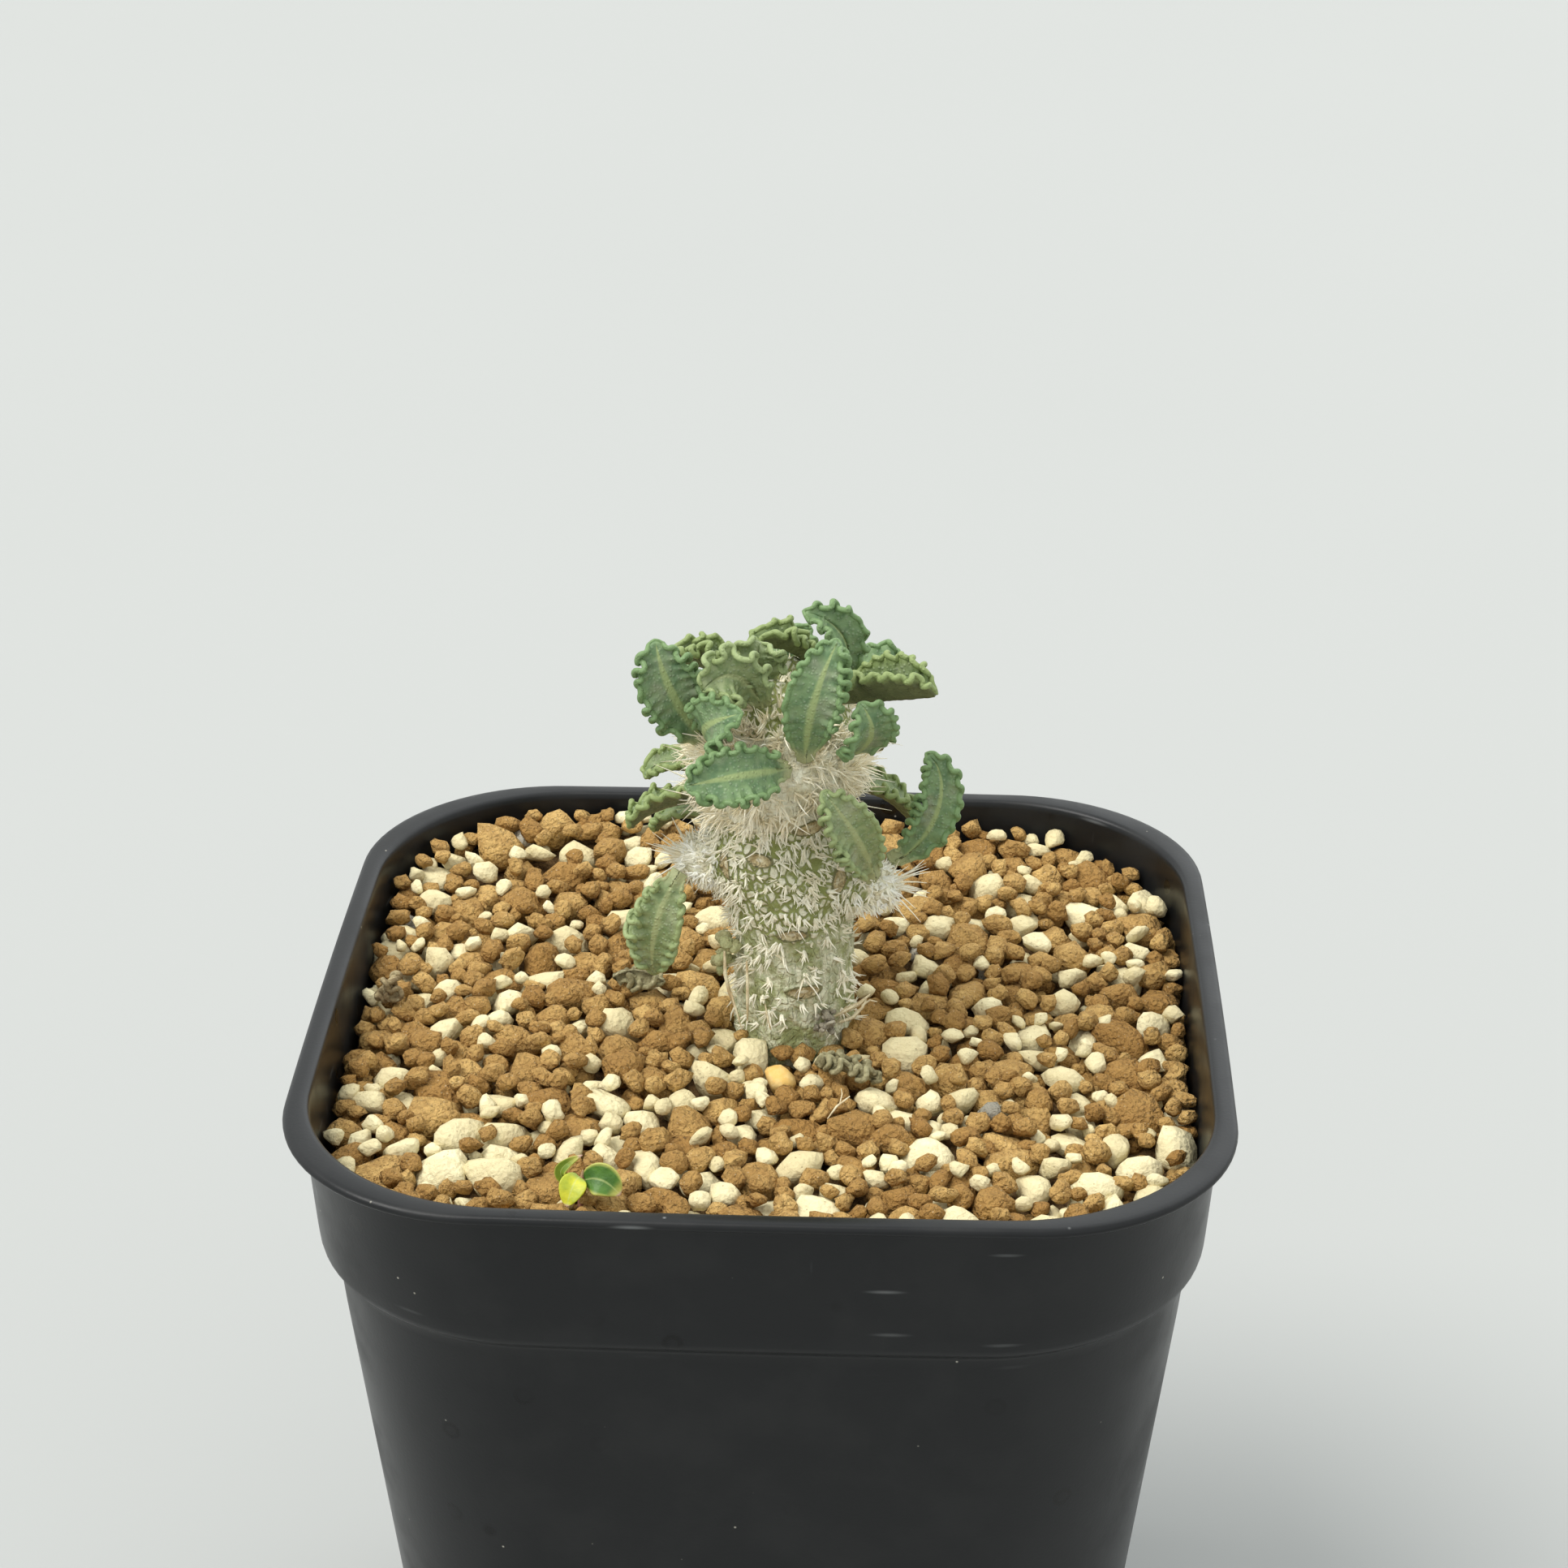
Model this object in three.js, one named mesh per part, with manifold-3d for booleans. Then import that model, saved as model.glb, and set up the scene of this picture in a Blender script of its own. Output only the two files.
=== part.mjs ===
// A young bristly spurge with crinkled leaves, in a square plastic nursery pot filled with gritty mix.
// Millimetres, +Z up. The origin is the middle of the pot's underside, and the rim is level.
import * as THREE from "three";
import Module from "manifold-3d";

const wasm = await Module();
wasm.setup();
const { Manifold, Mesh } = wasm;

// Driving dimensions of the pot
const POT_HEIGHT = 75;
const RIM_HALF = 37.35;
const RIM_CORNER = 17.9;
const LIP_CORNER = 16.6;
const LIP_THICKNESS = 0.8;
const LIP_OVERHANG = 1.1;
const LIP_EDGE = 0.4;
const COLLAR_DROP = 11.9;
const COLLAR_FOOT_HALF = 35.6;
const STEP_HEIGHT = 1.6;
const BODY_TOP_HALF = 34.5;
const BODY_FOOT_HALF = 27.8;
const WALL = 0.7;
const FLOOR_UNDERSIDE = 1.2;
const FLOOR_TOP = 2.6;
const FOOT_RING_WIDTH = 2;
const SIDE_BOW = 0.15;
const CENTRE_HOLE_RADIUS = 5;
const OUTER_HOLE_RADIUS = 4;
const OUTER_HOLE_OFFSET = 15;

// Driving dimensions of the growing mix
const SEAT_GAP = 0.3;
const MIX_LEVEL = 70.4;
const MIX_SLOPE_X = -0.018;
const MIX_SLOPE_Y = 0.05;
const MIX_BACK_START = 5;
const MIX_BACK_RISE = 1.6;
const MIX_BACK_LEAN = 0.01;
const GRAIN_PITCH = 4.7;
const GRAIN_RELIEF = 1.9;
const SLIVER = 0.03;

// Driving dimensions of the plant
const PLANT_X = 1.85;
const PLANT_Y = 3.4;
const PLANT_Z = 69.4;
const LEAF_EDGE_THICKNESS = 0.66;
const LEAF_RIB_THICKNESS = 1.15;
const PETIOLE_WIDTH = 1.5;
const LEAF_TIP_WIDTH = 0.7;
const BRISTLE_RADIUS = 0.22;

// The same seed gives the same grains and bristles every time
function seededRandom(seed) {
  let state = seed;
  return () => {
    state = (state * 1664525 + 1013904223) % 4294967296;
    return state / 4294967296;
  };
}

// A closed body from points and triangles, turned outward where needed
function solid(points, triangles) {
  const build = (faces) =>
    new Manifold(
      new Mesh({
        numProp: 3,
        vertProperties: new Float32Array(points.flat()),
        triVerts: new Uint32Array(faces.flat()),
      }),
    );
  const body = build(triangles);
  if (body.volume() > 0) return body;
  return build(triangles.map(([a, b, c]) => [a, c, b]));
}

// A body skinned over a stack of rings that all have the same number of points
function skin(rings) {
  const count = rings[0].length;
  const points = rings.flat();
  const triangles = [];
  for (let level = 0; level + 1 < rings.length; level += 1) {
    for (let i = 0; i < count; i += 1) {
      const next = (i + 1) % count;
      const low = level * count;
      const high = low + count;
      triangles.push([low + i, low + next, high + next]);
      triangles.push([low + i, high + next, high + i]);
    }
  }
  const centreOf = (ring) =>
    [0, 1, 2].map((axis) => ring.reduce((sum, p) => sum + p[axis], 0) / count);
  const start = points.push(centreOf(rings[0])) - 1;
  const end = points.push(centreOf(rings[rings.length - 1])) - 1;
  const last = (rings.length - 1) * count;
  for (let i = 0; i < count; i += 1) {
    const next = (i + 1) % count;
    triangles.push([start, next, i]);
    triangles.push([end, last + i, last + next]);
  }
  return solid(points, triangles);
}

// One rounded square, whose sides bow out a little as thin moulded sides do
function roundedSquare(half, corner, height) {
  const steps = 5;
  const ring = [];
  for (let quarter = 0; quarter < 4; quarter += 1) {
    const turn = (quarter * Math.PI) / 2;
    const add = (x, y) => {
      const px = x * Math.cos(turn) - y * Math.sin(turn);
      const py = x * Math.sin(turn) + y * Math.cos(turn);
      const z = typeof height === "function" ? height(px, py) : height;
      ring.push([px, py, z]);
    };
    add(half + SIDE_BOW, 0);
    for (let i = 0; i <= steps; i += 1) {
      const angle = (i / steps) * (Math.PI / 2);
      add(
        half - corner + corner * Math.cos(angle),
        half - corner + corner * Math.sin(angle),
      );
    }
  }
  return ring;
}

function drum(radius, x, y, bottom, top, sides) {
  const ring = (z) =>
    Array.from({ length: sides }, (_, i) => {
      const angle = (i / sides) * 2 * Math.PI;
      return [x + radius * Math.cos(angle), y + radius * Math.sin(angle), z];
    });
  return skin([ring(bottom), ring(top)]);
}

// Pot: thin square walls, a stepped collar under an out-turned lip, a raised floor with drain holes
const collarTopHalf = RIM_HALF - LIP_OVERHANG;
const collarFootZ = POT_HEIGHT - COLLAR_DROP;
const bodyTopZ = collarFootZ - STEP_HEIGHT;
const footCorner = (RIM_CORNER * BODY_FOOT_HALF) / BODY_TOP_HALF;
const innerTop = collarTopHalf - WALL;
const innerCollarFoot = COLLAR_FOOT_HALF - WALL;
const innerBodyTop = BODY_TOP_HALF - WALL;
const innerFoot = BODY_FOOT_HALF - WALL + 0.35;

function makePot() {
  const stepMid = (BODY_TOP_HALF + COLLAR_FOOT_HALF) / 2 + 0.25;
  const shell = skin([
    roundedSquare(BODY_FOOT_HALF - FOOT_RING_WIDTH, footCorner - 1.5, FLOOR_UNDERSIDE),
    roundedSquare(BODY_FOOT_HALF - FOOT_RING_WIDTH + 0.1, footCorner - 1.5, 0),
    roundedSquare(BODY_FOOT_HALF - 0.4, footCorner, 0),
    roundedSquare(BODY_FOOT_HALF, footCorner, 0.5),
    roundedSquare(BODY_TOP_HALF, RIM_CORNER, bodyTopZ),
    roundedSquare(stepMid, RIM_CORNER + 0.3, bodyTopZ + STEP_HEIGHT / 2),
    roundedSquare(COLLAR_FOOT_HALF, RIM_CORNER + 0.6, collarFootZ),
    roundedSquare(collarTopHalf, RIM_CORNER + 0.3, POT_HEIGHT - LIP_THICKNESS - 0.2),
    roundedSquare(RIM_HALF - 0.15, LIP_CORNER, POT_HEIGHT - LIP_THICKNESS),
    roundedSquare(RIM_HALF, LIP_CORNER, POT_HEIGHT - LIP_THICKNESS / 2),
    roundedSquare(RIM_HALF - 0.25, LIP_CORNER, POT_HEIGHT),
    roundedSquare(innerTop + 0.35, RIM_CORNER - 1, POT_HEIGHT),
    roundedSquare(innerTop, RIM_CORNER - 1, POT_HEIGHT - LIP_EDGE),
    roundedSquare(innerCollarFoot, RIM_CORNER - 0.6, collarFootZ),
    roundedSquare(innerBodyTop, RIM_CORNER - 1, bodyTopZ),
    roundedSquare(innerFoot, footCorner - 1, FLOOR_TOP + 0.9),
    roundedSquare(innerFoot - 0.9, footCorner - 1.6, FLOOR_TOP),
  ]);
  const holes = [[0, 0, CENTRE_HOLE_RADIUS]];
  for (const sx of [-1, 1]) {
    for (const sy of [-1, 1]) {
      holes.push([sx * OUTER_HOLE_OFFSET, sy * OUTER_HOLE_OFFSET, OUTER_HOLE_RADIUS]);
    }
  }
  let pot = shell;
  for (const [x, y, radius] of holes) {
    pot = pot.subtract(drum(radius, x, y, -1, FLOOR_TOP + 1, 16));
  }
  return pot;
}

// Stem: a stout trunk, a knobbly shoulder with two side tubercles and a swollen crown.
// Each level is [height, shift of the axis in x, radius], above the soil.
const STEM_LEVELS = [
  [-9, 0, 2.2],
  [-7, 0, 4],
  [-3, 0, 4.9],
  [0, 0, 5.1],
  [2, 0.1, 5.05],
  [4.5, 0, 4.9],
  [7, -0.1, 4.85],
  [9.5, -0.2, 4.8],
  [11.5, -0.4, 5],
  [13.5, -0.7, 5.4],
  [15.5, -1, 5.6],
  [17.5, -1.5, 5.5],
  [19.5, -1.9, 5.3],
  [21.3, -1.8, 5.9],
  [23, -1.6, 6.5],
  [25, -1.5, 6.7],
  [27, -1.4, 6.5],
  [29, -1.2, 5.8],
  [30.7, -1.1, 4.8],
  [32, -1, 3.5],
  [32.6, -1, 2.4],
  [31.4, -1, 1.3],
];
const STEM_SIDES = 18;

// Low swellings at the old leaf scars, as [height, bearing in degrees, how far they stand out]
const SCAR_SWELLINGS = [
  [5.5, 280, 0.35],
  [7.2, 250, 0.3],
  [11, 262, 0.45],
  [15.8, 305, 0.6],
  [18.3, 250, 0.55],
  [21.2, 285, 0.5],
  [8.8, 10, 0.4],
  [5, 150, 0.35],
  [10, 110, 0.45],
  [17, 80, 0.6],
  [13, 45, 0.5],
  [19, 130, 0.5],
];

function stemRadius(height, bearing, radius) {
  let extra = 0;
  for (const [z, degrees, lift] of SCAR_SWELLINGS) {
    const swing = Math.atan2(
      Math.sin(bearing - (degrees * Math.PI) / 180),
      Math.cos(bearing - (degrees * Math.PI) / 180),
    );
    const across = (swing * radius) / 1.7;
    const up = (height - z) / 1.5;
    extra += lift * Math.exp(-(across * across + up * up));
  }
  const knobs = height > 20 && height < 31 ? 0.22 : 0.08;
  return radius + extra + knobs * Math.sin(7 * bearing + height * 1.9);
}

function stemSkin(grow) {
  const last = STEM_LEVELS.length - 1;
  const rings = STEM_LEVELS.map(([height, shift, radius], level) => {
    const hollow = level === last;
    return Array.from({ length: STEM_SIDES }, (_, i) => {
      const bearing = ((i + (level % 2) / 2) / STEM_SIDES) * 2 * Math.PI;
      const reach = hollow ? radius : stemRadius(height, bearing, radius) + grow;
      let lift = 0;
      if (level > last - 3) lift = grow;
      if (level === 0) lift = -grow;
      if (hollow && grow > 0) lift = STEM_LEVELS[last - 1][0] - height + grow;
      return [
        PLANT_X + shift + reach * Math.cos(bearing),
        PLANT_Y + reach * Math.sin(bearing),
        PLANT_Z + height + lift,
      ];
    });
  });
  return skin(rings);
}

// A short blunt arm from one point to another, thick at the root and rounded at the tip
function arm(from, to, rootRadius, tipRadius, grow) {
  const a = new THREE.Vector3(...from);
  const axis = new THREE.Vector3(...to).sub(a);
  const length = axis.length();
  axis.normalize();
  const side = new THREE.Vector3(0, 0, 1).cross(axis).normalize();
  const top = axis.clone().cross(side);
  const profile = [
    [0, rootRadius * 0.7],
    [0.25, rootRadius],
    [0.6, (rootRadius + tipRadius) / 2],
    [0.88, tipRadius],
    [1, tipRadius * 0.45],
  ];
  const sides = 10;
  return skin(
    profile.map(([t, radius], level) =>
      Array.from({ length: sides }, (_, i) => {
        const angle = (i / sides) * 2 * Math.PI;
        const reach = radius + grow;
        const along = length * t + (level === profile.length - 1 ? grow : 0);
        return a
          .clone()
          .addScaledVector(axis, along)
          .addScaledVector(side, reach * Math.cos(angle))
          .addScaledVector(top, reach * Math.sin(angle))
          .toArray();
      }),
    ),
  );
}

// Side tubercles, as [root, tip, root radius, tip radius] from the foot of the plant
const ARMS = [
  [[-3.5, -0.5, 15.2], [-9.6, -1, 16], 2.5, 1.7],
  [[2.5, -1, 13.4], [8.6, -1.8, 14.2], 2.3, 1.7],
  [[-1, 2, 14], [-3, 8.6, 15.4], 2.3, 1.5],
];
const fromFoot = ([x, y, z]) => [PLANT_X + x, PLANT_Y + y, PLANT_Z + z];

function stemCore(grow) {
  let core = stemSkin(grow);
  for (const [root, tip, rootRadius, tipRadius] of ARMS) {
    core = core.add(arm(fromFoot(root), fromFoot(tip), rootRadius, tipRadius, grow));
  }
  return core;
}

// Leaves, each from the foot of the plant: `rib` holds even steps along the midrib from base to tip, and
// `face` is where the upper side looks. `fold` raises both halves off the midrib in degrees, and `frill` is how far the
// left and right margins wave.
const LEAVES = [
  {
    name: "leaf_left_upright",
    rib: [[-7.2, -2.4, 27], [-9.9, -4, 32.2], [-11.2, -3.5, 36.5]],
    width: 5.3,
    face: [0.25, -0.95, 0.25],
    fold: 12,
    frill: [0.45, 0.6],
    waves: 4.5,
    phase: 0.4,
  },
  {
    name: "leaf_left_level",
    rib: [[-4.3, 0.7, 31], [-7.3, 1.5, 31.9], [-10.8, 1.2, 32.9]],
    width: 5.2,
    face: [0.25, -0.15, 1],
    fold: 50,
    frill: [0.45, 0.45],
    waves: 3.5,
    phase: 1.2,
  },
  {
    name: "leaf_top_level",
    rib: [[1.4, 2.6, 31.7], [-1.2, 1.9, 33.6], [-4, 1.1, 33.9]],
    width: 4.4,
    face: [0.1, -0.1, 1],
    fold: 48,
    frill: [0.4, 0.45],
    waves: 4,
    phase: 2,
  },
  {
    name: "leaf_top",
    rib: [[2.8, 0.6, 31.2], [3.6, -0.3, 35.3], [0.6, -0.8, 38.1]],
    width: 4.6,
    face: [0.75, -0.55, 0.35],
    fold: 34,
    frill: [0.45, 0.4],
    waves: 4,
    phase: 0.8,
  },
  {
    name: "leaf_centre",
    rib: [[1, -6.2, 27.6], [1.7, -8.5, 33.6], [3.5, -6.5, 38.1]],
    width: 4.7,
    face: [0.05, -0.95, 0.3],
    fold: 10,
    frill: [0.3, 0.5],
    waves: 5,
    phase: 0,
  },
  {
    name: "leaf_right_level",
    rib: [[3.2, -2.3, 31.1], [8, -4.6, 32.5], [11.4, -5.3, 33.1]],
    width: 5.6,
    face: [-0.05, -0.2, 1],
    fold: 42,
    frill: [0.4, 0.45],
    waves: 3.5,
    phase: 2.6,
  },
  {
    name: "leaf_right_back",
    rib: [[3, 2.8, 30.8], [6.6, 4, 31.2], [9, 5, 30.3]],
    width: 4.2,
    face: [-0.2, -0.3, 1],
    fold: 35,
    frill: [0.35, 0.4],
    waves: 3.5,
    phase: 0.9,
  },
  {
    name: "leaf_right_rising",
    rib: [[4.1, -4, 27.2], [6.0, -7.6, 30.5], [5.3, -8.4, 33.5]],
    width: 4.9,
    face: [0.45, -0.85, 0.25],
    fold: 14,
    frill: [0.5, 0.3],
    waves: 5,
    phase: 1.4,
  },
  {
    name: "leaf_young_outer",
    rib: [[-2.4, -3.6, 30.8], [-4.5, -5.2, 34.2], [-7.2, -6, 33.3]],
    width: 4.2,
    face: [-0.2, -0.9, 0.3],
    fold: 14,
    frill: [0.55, 0.4],
    waves: 4,
    phase: 0.2,
  },
  {
    name: "leaf_young_inner",
    rib: [[-2, -1.6, 31.8], [-3.1, -2.4, 34.2], [-2.9, -1.5, 35.6]],
    width: 3.4,
    face: [0.2, -0.8, 0.5],
    fold: 22,
    frill: [0.4, 0.4],
    waves: 3,
    phase: 1.7,
  },
  {
    name: "leaf_left_front",
    rib: [[-6.2, -4, 28], [-6.6, -7.4, 30.8], [-3.9, -9.4, 32.9]],
    width: 5,
    face: [-0.5, -0.78, 0.35],
    fold: 12,
    frill: [0.35, 0.5],
    waves: 4,
    phase: 2.3,
  },
  {
    name: "leaf_front_low",
    rib: [[-0.5, -6.7, 26.8], [-4, -10.6, 28], [-8.3, -10.9, 27.1]],
    width: 4.8,
    face: [0, -0.9, 0.45],
    fold: 14,
    frill: [0.45, 0.45],
    waves: 5,
    phase: 0.6,
  },
  {
    name: "leaf_left_small",
    rib: [[-7.6, 2.2, 22.6], [-10.6, 3.2, 22.2], [-12.6, 3, 21.2]],
    width: 4,
    face: [-0.25, -0.1, 1],
    fold: 28,
    frill: [0.35, 0.35],
    waves: 3,
    phase: 0.3,
  },
  {
    name: "leaf_left_drooping",
    rib: [[-7.2, -0.4, 21.2], [-11, -1.4, 20.8], [-13.6, -2.2, 19.1]],
    width: 5.4,
    face: [-0.4, 0.25, 0.9],
    fold: 22,
    frill: [0.35, 0.35],
    waves: 3.5,
    phase: 1.1,
  },
  {
    name: "leaf_left_under",
    rib: [[-6.8, 2.4, 18.2], [-10.2, 3.8, 17.4], [-12, 4.2, 15.7]],
    width: 3.8,
    face: [-0.5, 0.2, 0.85],
    fold: 20,
    frill: [0.3, 0.3],
    waves: 3,
    phase: 2.2,
  },
  {
    name: "leaf_left_hanging",
    rib: [[-9.4, -2.7, 15.4], [-11.3, -3.8, 11], [-11.6, -3, 5.9]],
    width: 4.3,
    face: [-0.1, -0.98, 0.15],
    fold: 12,
    frill: [0.3, 0.55],
    waves: 4,
    phase: 0.5,
  },
  {
    name: "leaf_right_inner",
    rib: [[6.5, -2.8, 15.3], [5, -6.7, 21], [2.4, -7.6, 25.3]],
    width: 4.4,
    face: [0.4, -0.9, 0.2],
    fold: 14,
    frill: [0.5, 0.35],
    waves: 4,
    phase: 1.5,
  },
  {
    name: "leaf_right_hooked",
    rib: [[8, -0.6, 15.9], [10.9, -1.6, 19.2], [11.9, -1.4, 23], [10.7, -1.2, 25.9]],
    width: 3.9,
    face: [0.2, -0.95, 0.25],
    fold: 16,
    frill: [0.55, 0.3],
    waves: 5,
    phase: 0.9,
  },
  {
    name: "leaf_right_under",
    rib: [[4.4, 2.2, 21.2], [7.4, 4.2, 19.5], [9.9, 4.6, 16.7]],
    width: 5.2,
    face: [0.4, 0.1, 0.9],
    fold: 22,
    frill: [0.4, 0.4],
    waves: 4,
    phase: 0,
  },
  {
    name: "leaf_back_left",
    rib: [[-5.2, 3.8, 28.4], [-7.4, 6.4, 28.9], [-8.8, 8.4, 27.2]],
    width: 4.8,
    face: [0.25, -0.3, 0.9],
    fold: 30,
    frill: [0.4, 0.4],
    waves: 4,
    phase: 1.9,
  },
  {
    name: "leaf_back_rising",
    rib: [[-0.6, 5.2, 29], [-0.2, 7.2, 31.2], [0.8, 7, 33.6]],
    width: 4.4,
    face: [0.1, -0.8, 0.5],
    fold: 24,
    frill: [0.4, 0.4],
    waves: 4,
    phase: 0.5,
  },
  {
    name: "leaf_back_right",
    rib: [[3.7, 4.2, 24.6], [6, 7.4, 22.8], [6.8, 10.2, 21]],
    width: 4.6,
    face: [-0.2, -0.1, 1],
    fold: 28,
    frill: [0.4, 0.4],
    waves: 4,
    phase: 2.8,
  },
  {
    name: "leaf_back_low",
    rib: [[-2.4, 6.4, 22.8], [-3.2, 10, 23.2], [-4.4, 12.8, 21]],
    width: 4.8,
    face: [0, 0.1, 1],
    fold: 24,
    frill: [0.4, 0.4],
    waves: 4,
    phase: 1,
  },
];

const LEAF_ROWS = 14;
const LEAF_COLUMNS = [-1, -0.56, 0, 0.56, 1];

// How wide a leaf is along its length: a narrow stalk, the widest past the middle, a short point
function leafWidth(leaf, t) {
  const blade = (Math.pow(t, 0.85) * Math.pow(1 - t, 0.6)) / 0.4166;
  return Math.max(leaf.width * blade, PETIOLE_WIDTH * (1 - t), LEAF_TIP_WIDTH);
}

// The point on a smooth curve through evenly spaced points
function alongCurve(stops, t) {
  const last = stops.length - 1;
  const point = new THREE.Vector3();
  stops.forEach((stop, k) => {
    let weight = 1;
    for (let m = 0; m <= last; m += 1) {
      if (m !== k) weight *= (t * last - m) / (k - m);
    }
    point.addScaledVector(new THREE.Vector3(...stop), weight);
  });
  return point;
}

function leafMidSurface(leaf) {
  const stops = leaf.rib.map(fromFoot);
  const look = new THREE.Vector3(...leaf.face).normalize();
  const rows = [];
  for (let i = 0; i <= LEAF_ROWS; i += 1) {
    const t = i / LEAF_ROWS;
    const centre = alongCurve(stops, t);
    const step = 0.01;
    const along = alongCurve(stops, t + step).sub(alongCurve(stops, t - step)).normalize();
    const up = look.clone().addScaledVector(along, -look.dot(along)).normalize();
    const side = along.clone().cross(up);
    const half = leafWidth(leaf, t) / 2;
    const fold = (leaf.fold * Math.PI) / 180;
    const fade = Math.min(1, t / 0.22, (1 - t) / 0.12);
    rows.push(
      LEAF_COLUMNS.map((v) => {
        const reach = Math.abs(v) * half;
        const frill = leaf.frill[v < 0 ? 0 : 1] * fade * Math.pow(Math.abs(v), 2.5);
        const swing = 2 * Math.PI * leaf.waves * t + leaf.phase + (v < 0 ? 0 : 1.7);
        const rise = reach * Math.sin(fold) + frill * Math.sin(swing);
        const out = reach * Math.cos(fold) + 0.5 * frill * Math.cos(swing);
        return centre
          .clone()
          .addScaledVector(up, rise)
          .addScaledVector(side, Math.sign(v) * out);
      }),
    );
  }
  return rows;
}

// A blade of even thickness over a grid of points, split into the same triangles on both sides
function blade(rows, thicknessAt) {
  const last = rows.length - 1;
  const wide = rows[0].length - 1;
  const points = [];
  for (const side of [1, -1]) {
    rows.forEach((row, i) =>
      row.forEach((point, j) => {
        const along = rows[Math.min(i + 1, last)][j]
          .clone()
          .sub(rows[Math.max(i - 1, 0)][j]);
        const across = row[Math.min(j + 1, wide)].clone().sub(row[Math.max(j - 1, 0)]);
        const normal = across.cross(along).normalize();
        points.push(
          point.clone().addScaledVector(normal, (side * thicknessAt(i, j)) / 2).toArray(),
        );
      }),
    );
  }
  const columns = wide + 1;
  const under = rows.length * columns;
  const at = (i, j) => i * columns + j;
  const triangles = [];
  for (let i = 0; i < last; i += 1) {
    for (let j = 0; j < wide; j += 1) {
      const corners = [at(i, j), at(i, j + 1), at(i + 1, j + 1), at(i + 1, j)];
      const [a, b, c, d] = corners;
      triangles.push([a, b, c], [a, c, d]);
      triangles.push([a + under, c + under, b + under], [a + under, d + under, c + under]);
    }
  }
  const rim = [];
  for (let j = 0; j < wide; j += 1) rim.push(at(0, j));
  for (let i = 0; i < last; i += 1) rim.push(at(i, wide));
  for (let j = wide; j > 0; j -= 1) rim.push(at(last, j));
  for (let i = last; i > 0; i -= 1) rim.push(at(i, 0));
  rim.forEach((a, k) => {
    const b = rim[(k + 1) % rim.length];
    triangles.push([a, a + under, b + under], [a, b + under, b]);
  });
  return solid(points, triangles);
}

function largestPiece(body) {
  const pieces = body.decompose();
  return pieces.reduce((best, piece) => (piece.volume() > best.volume() ? piece : best));
}

function makeLeaf(leaf) {
  return blade(leafMidSurface(leaf), (i, j) => {
    const rib = LEAF_COLUMNS[j] === 0 ? LEAF_RIB_THICKNESS : LEAF_EDGE_THICKNESS;
    const thin = LEAF_EDGE_THICKNESS;
    return thin + (rib - thin) * (1 - (0.7 * i) / LEAF_ROWS);
  });
}

// Bristles: three-sided, pointed, their roots sunk in the skin
function bristle(root, direction, length) {
  const axis = new THREE.Vector3(...direction).normalize();
  const side = new THREE.Vector3(0.3, 0.2, 0.93).cross(axis).normalize();
  const other = axis.clone().cross(side);
  const foot = new THREE.Vector3(...root).addScaledVector(axis, -0.5);
  const points = [0, 1, 2].map((i) => {
    const angle = (i * 2 * Math.PI) / 3;
    return foot
      .clone()
      .addScaledVector(side, BRISTLE_RADIUS * Math.cos(angle))
      .addScaledVector(other, BRISTLE_RADIUS * Math.sin(angle))
      .toArray();
  });
  points.push(foot.clone().addScaledVector(axis, length + 0.5).toArray());
  return solid(points, [
    [0, 2, 1],
    [0, 1, 3],
    [1, 2, 3],
    [2, 0, 3],
  ]);
}

function bristleSpots() {
  const random = seededRandom(11);
  const spots = [];
  const crownCount = 80;
  for (let i = 0; i < crownCount; i += 1) {
    const bearing = i * 2.39996 + random() * 0.3;
    const height = 20.6 + 9.5 * ((i + random()) / crownCount);
    const level = STEM_LEVELS.findIndex(([z]) => z > height);
    const [zLow, shiftLow, low] = STEM_LEVELS[level - 1];
    const [zHigh, shiftHigh, high] = STEM_LEVELS[level];
    const mix = (height - zLow) / (zHigh - zLow);
    const radius = low + (high - low) * mix;
    const shift = shiftLow + (shiftHigh - shiftLow) * mix;
    const root = fromFoot([
      shift + radius * Math.cos(bearing),
      radius * Math.sin(bearing),
      height,
    ]);
    const lean = (random() - 0.3) * 0.9;
    const direction = [Math.cos(bearing), Math.sin(bearing), lean];
    spots.push([root, direction, 1.2 + 1.4 * random()]);
  }
  for (const [root, tip, , tipRadius] of ARMS) {
    const axis = tip.map((value, k) => value - root[k]);
    const size = Math.hypot(...axis);
    for (let i = 0; i < 14; i += 1) {
      const angle = i * 2.39996;
      const spread = 0.25 + 0.75 * random();
      const direction = [
        axis[0] / size,
        axis[1] / size + spread * Math.cos(angle),
        axis[2] / size + spread * Math.sin(angle),
      ];
      const reach = tipRadius * 0.8;
      const place = tip.map((value, k) => {
        const pull = k === 0 ? -0.25 * Math.sign(axis[0]) : 0;
        return value - (axis[k] / size) * 0.5 + pull;
      });
      place[1] += reach * spread * 0.8 * Math.cos(angle);
      place[2] += reach * spread * 0.8 * Math.sin(angle);
      spots.push([fromFoot(place), direction, 1.4 + 1.2 * random()]);
    }
  }
  return spots;
}

// Growing mix: a bed that fills the pot and coarse grains bedded over its whole top, which is banked
// up towards the back, a little more on the left
function mixHeight(x, y) {
  const back = Math.max(0, (y - MIX_BACK_START) / 30);
  const bank = MIX_BACK_RISE * back * back * (1 - MIX_BACK_LEAN * x);
  return MIX_LEVEL + MIX_SLOPE_X * x + MIX_SLOPE_Y * y + bank;
}

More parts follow.
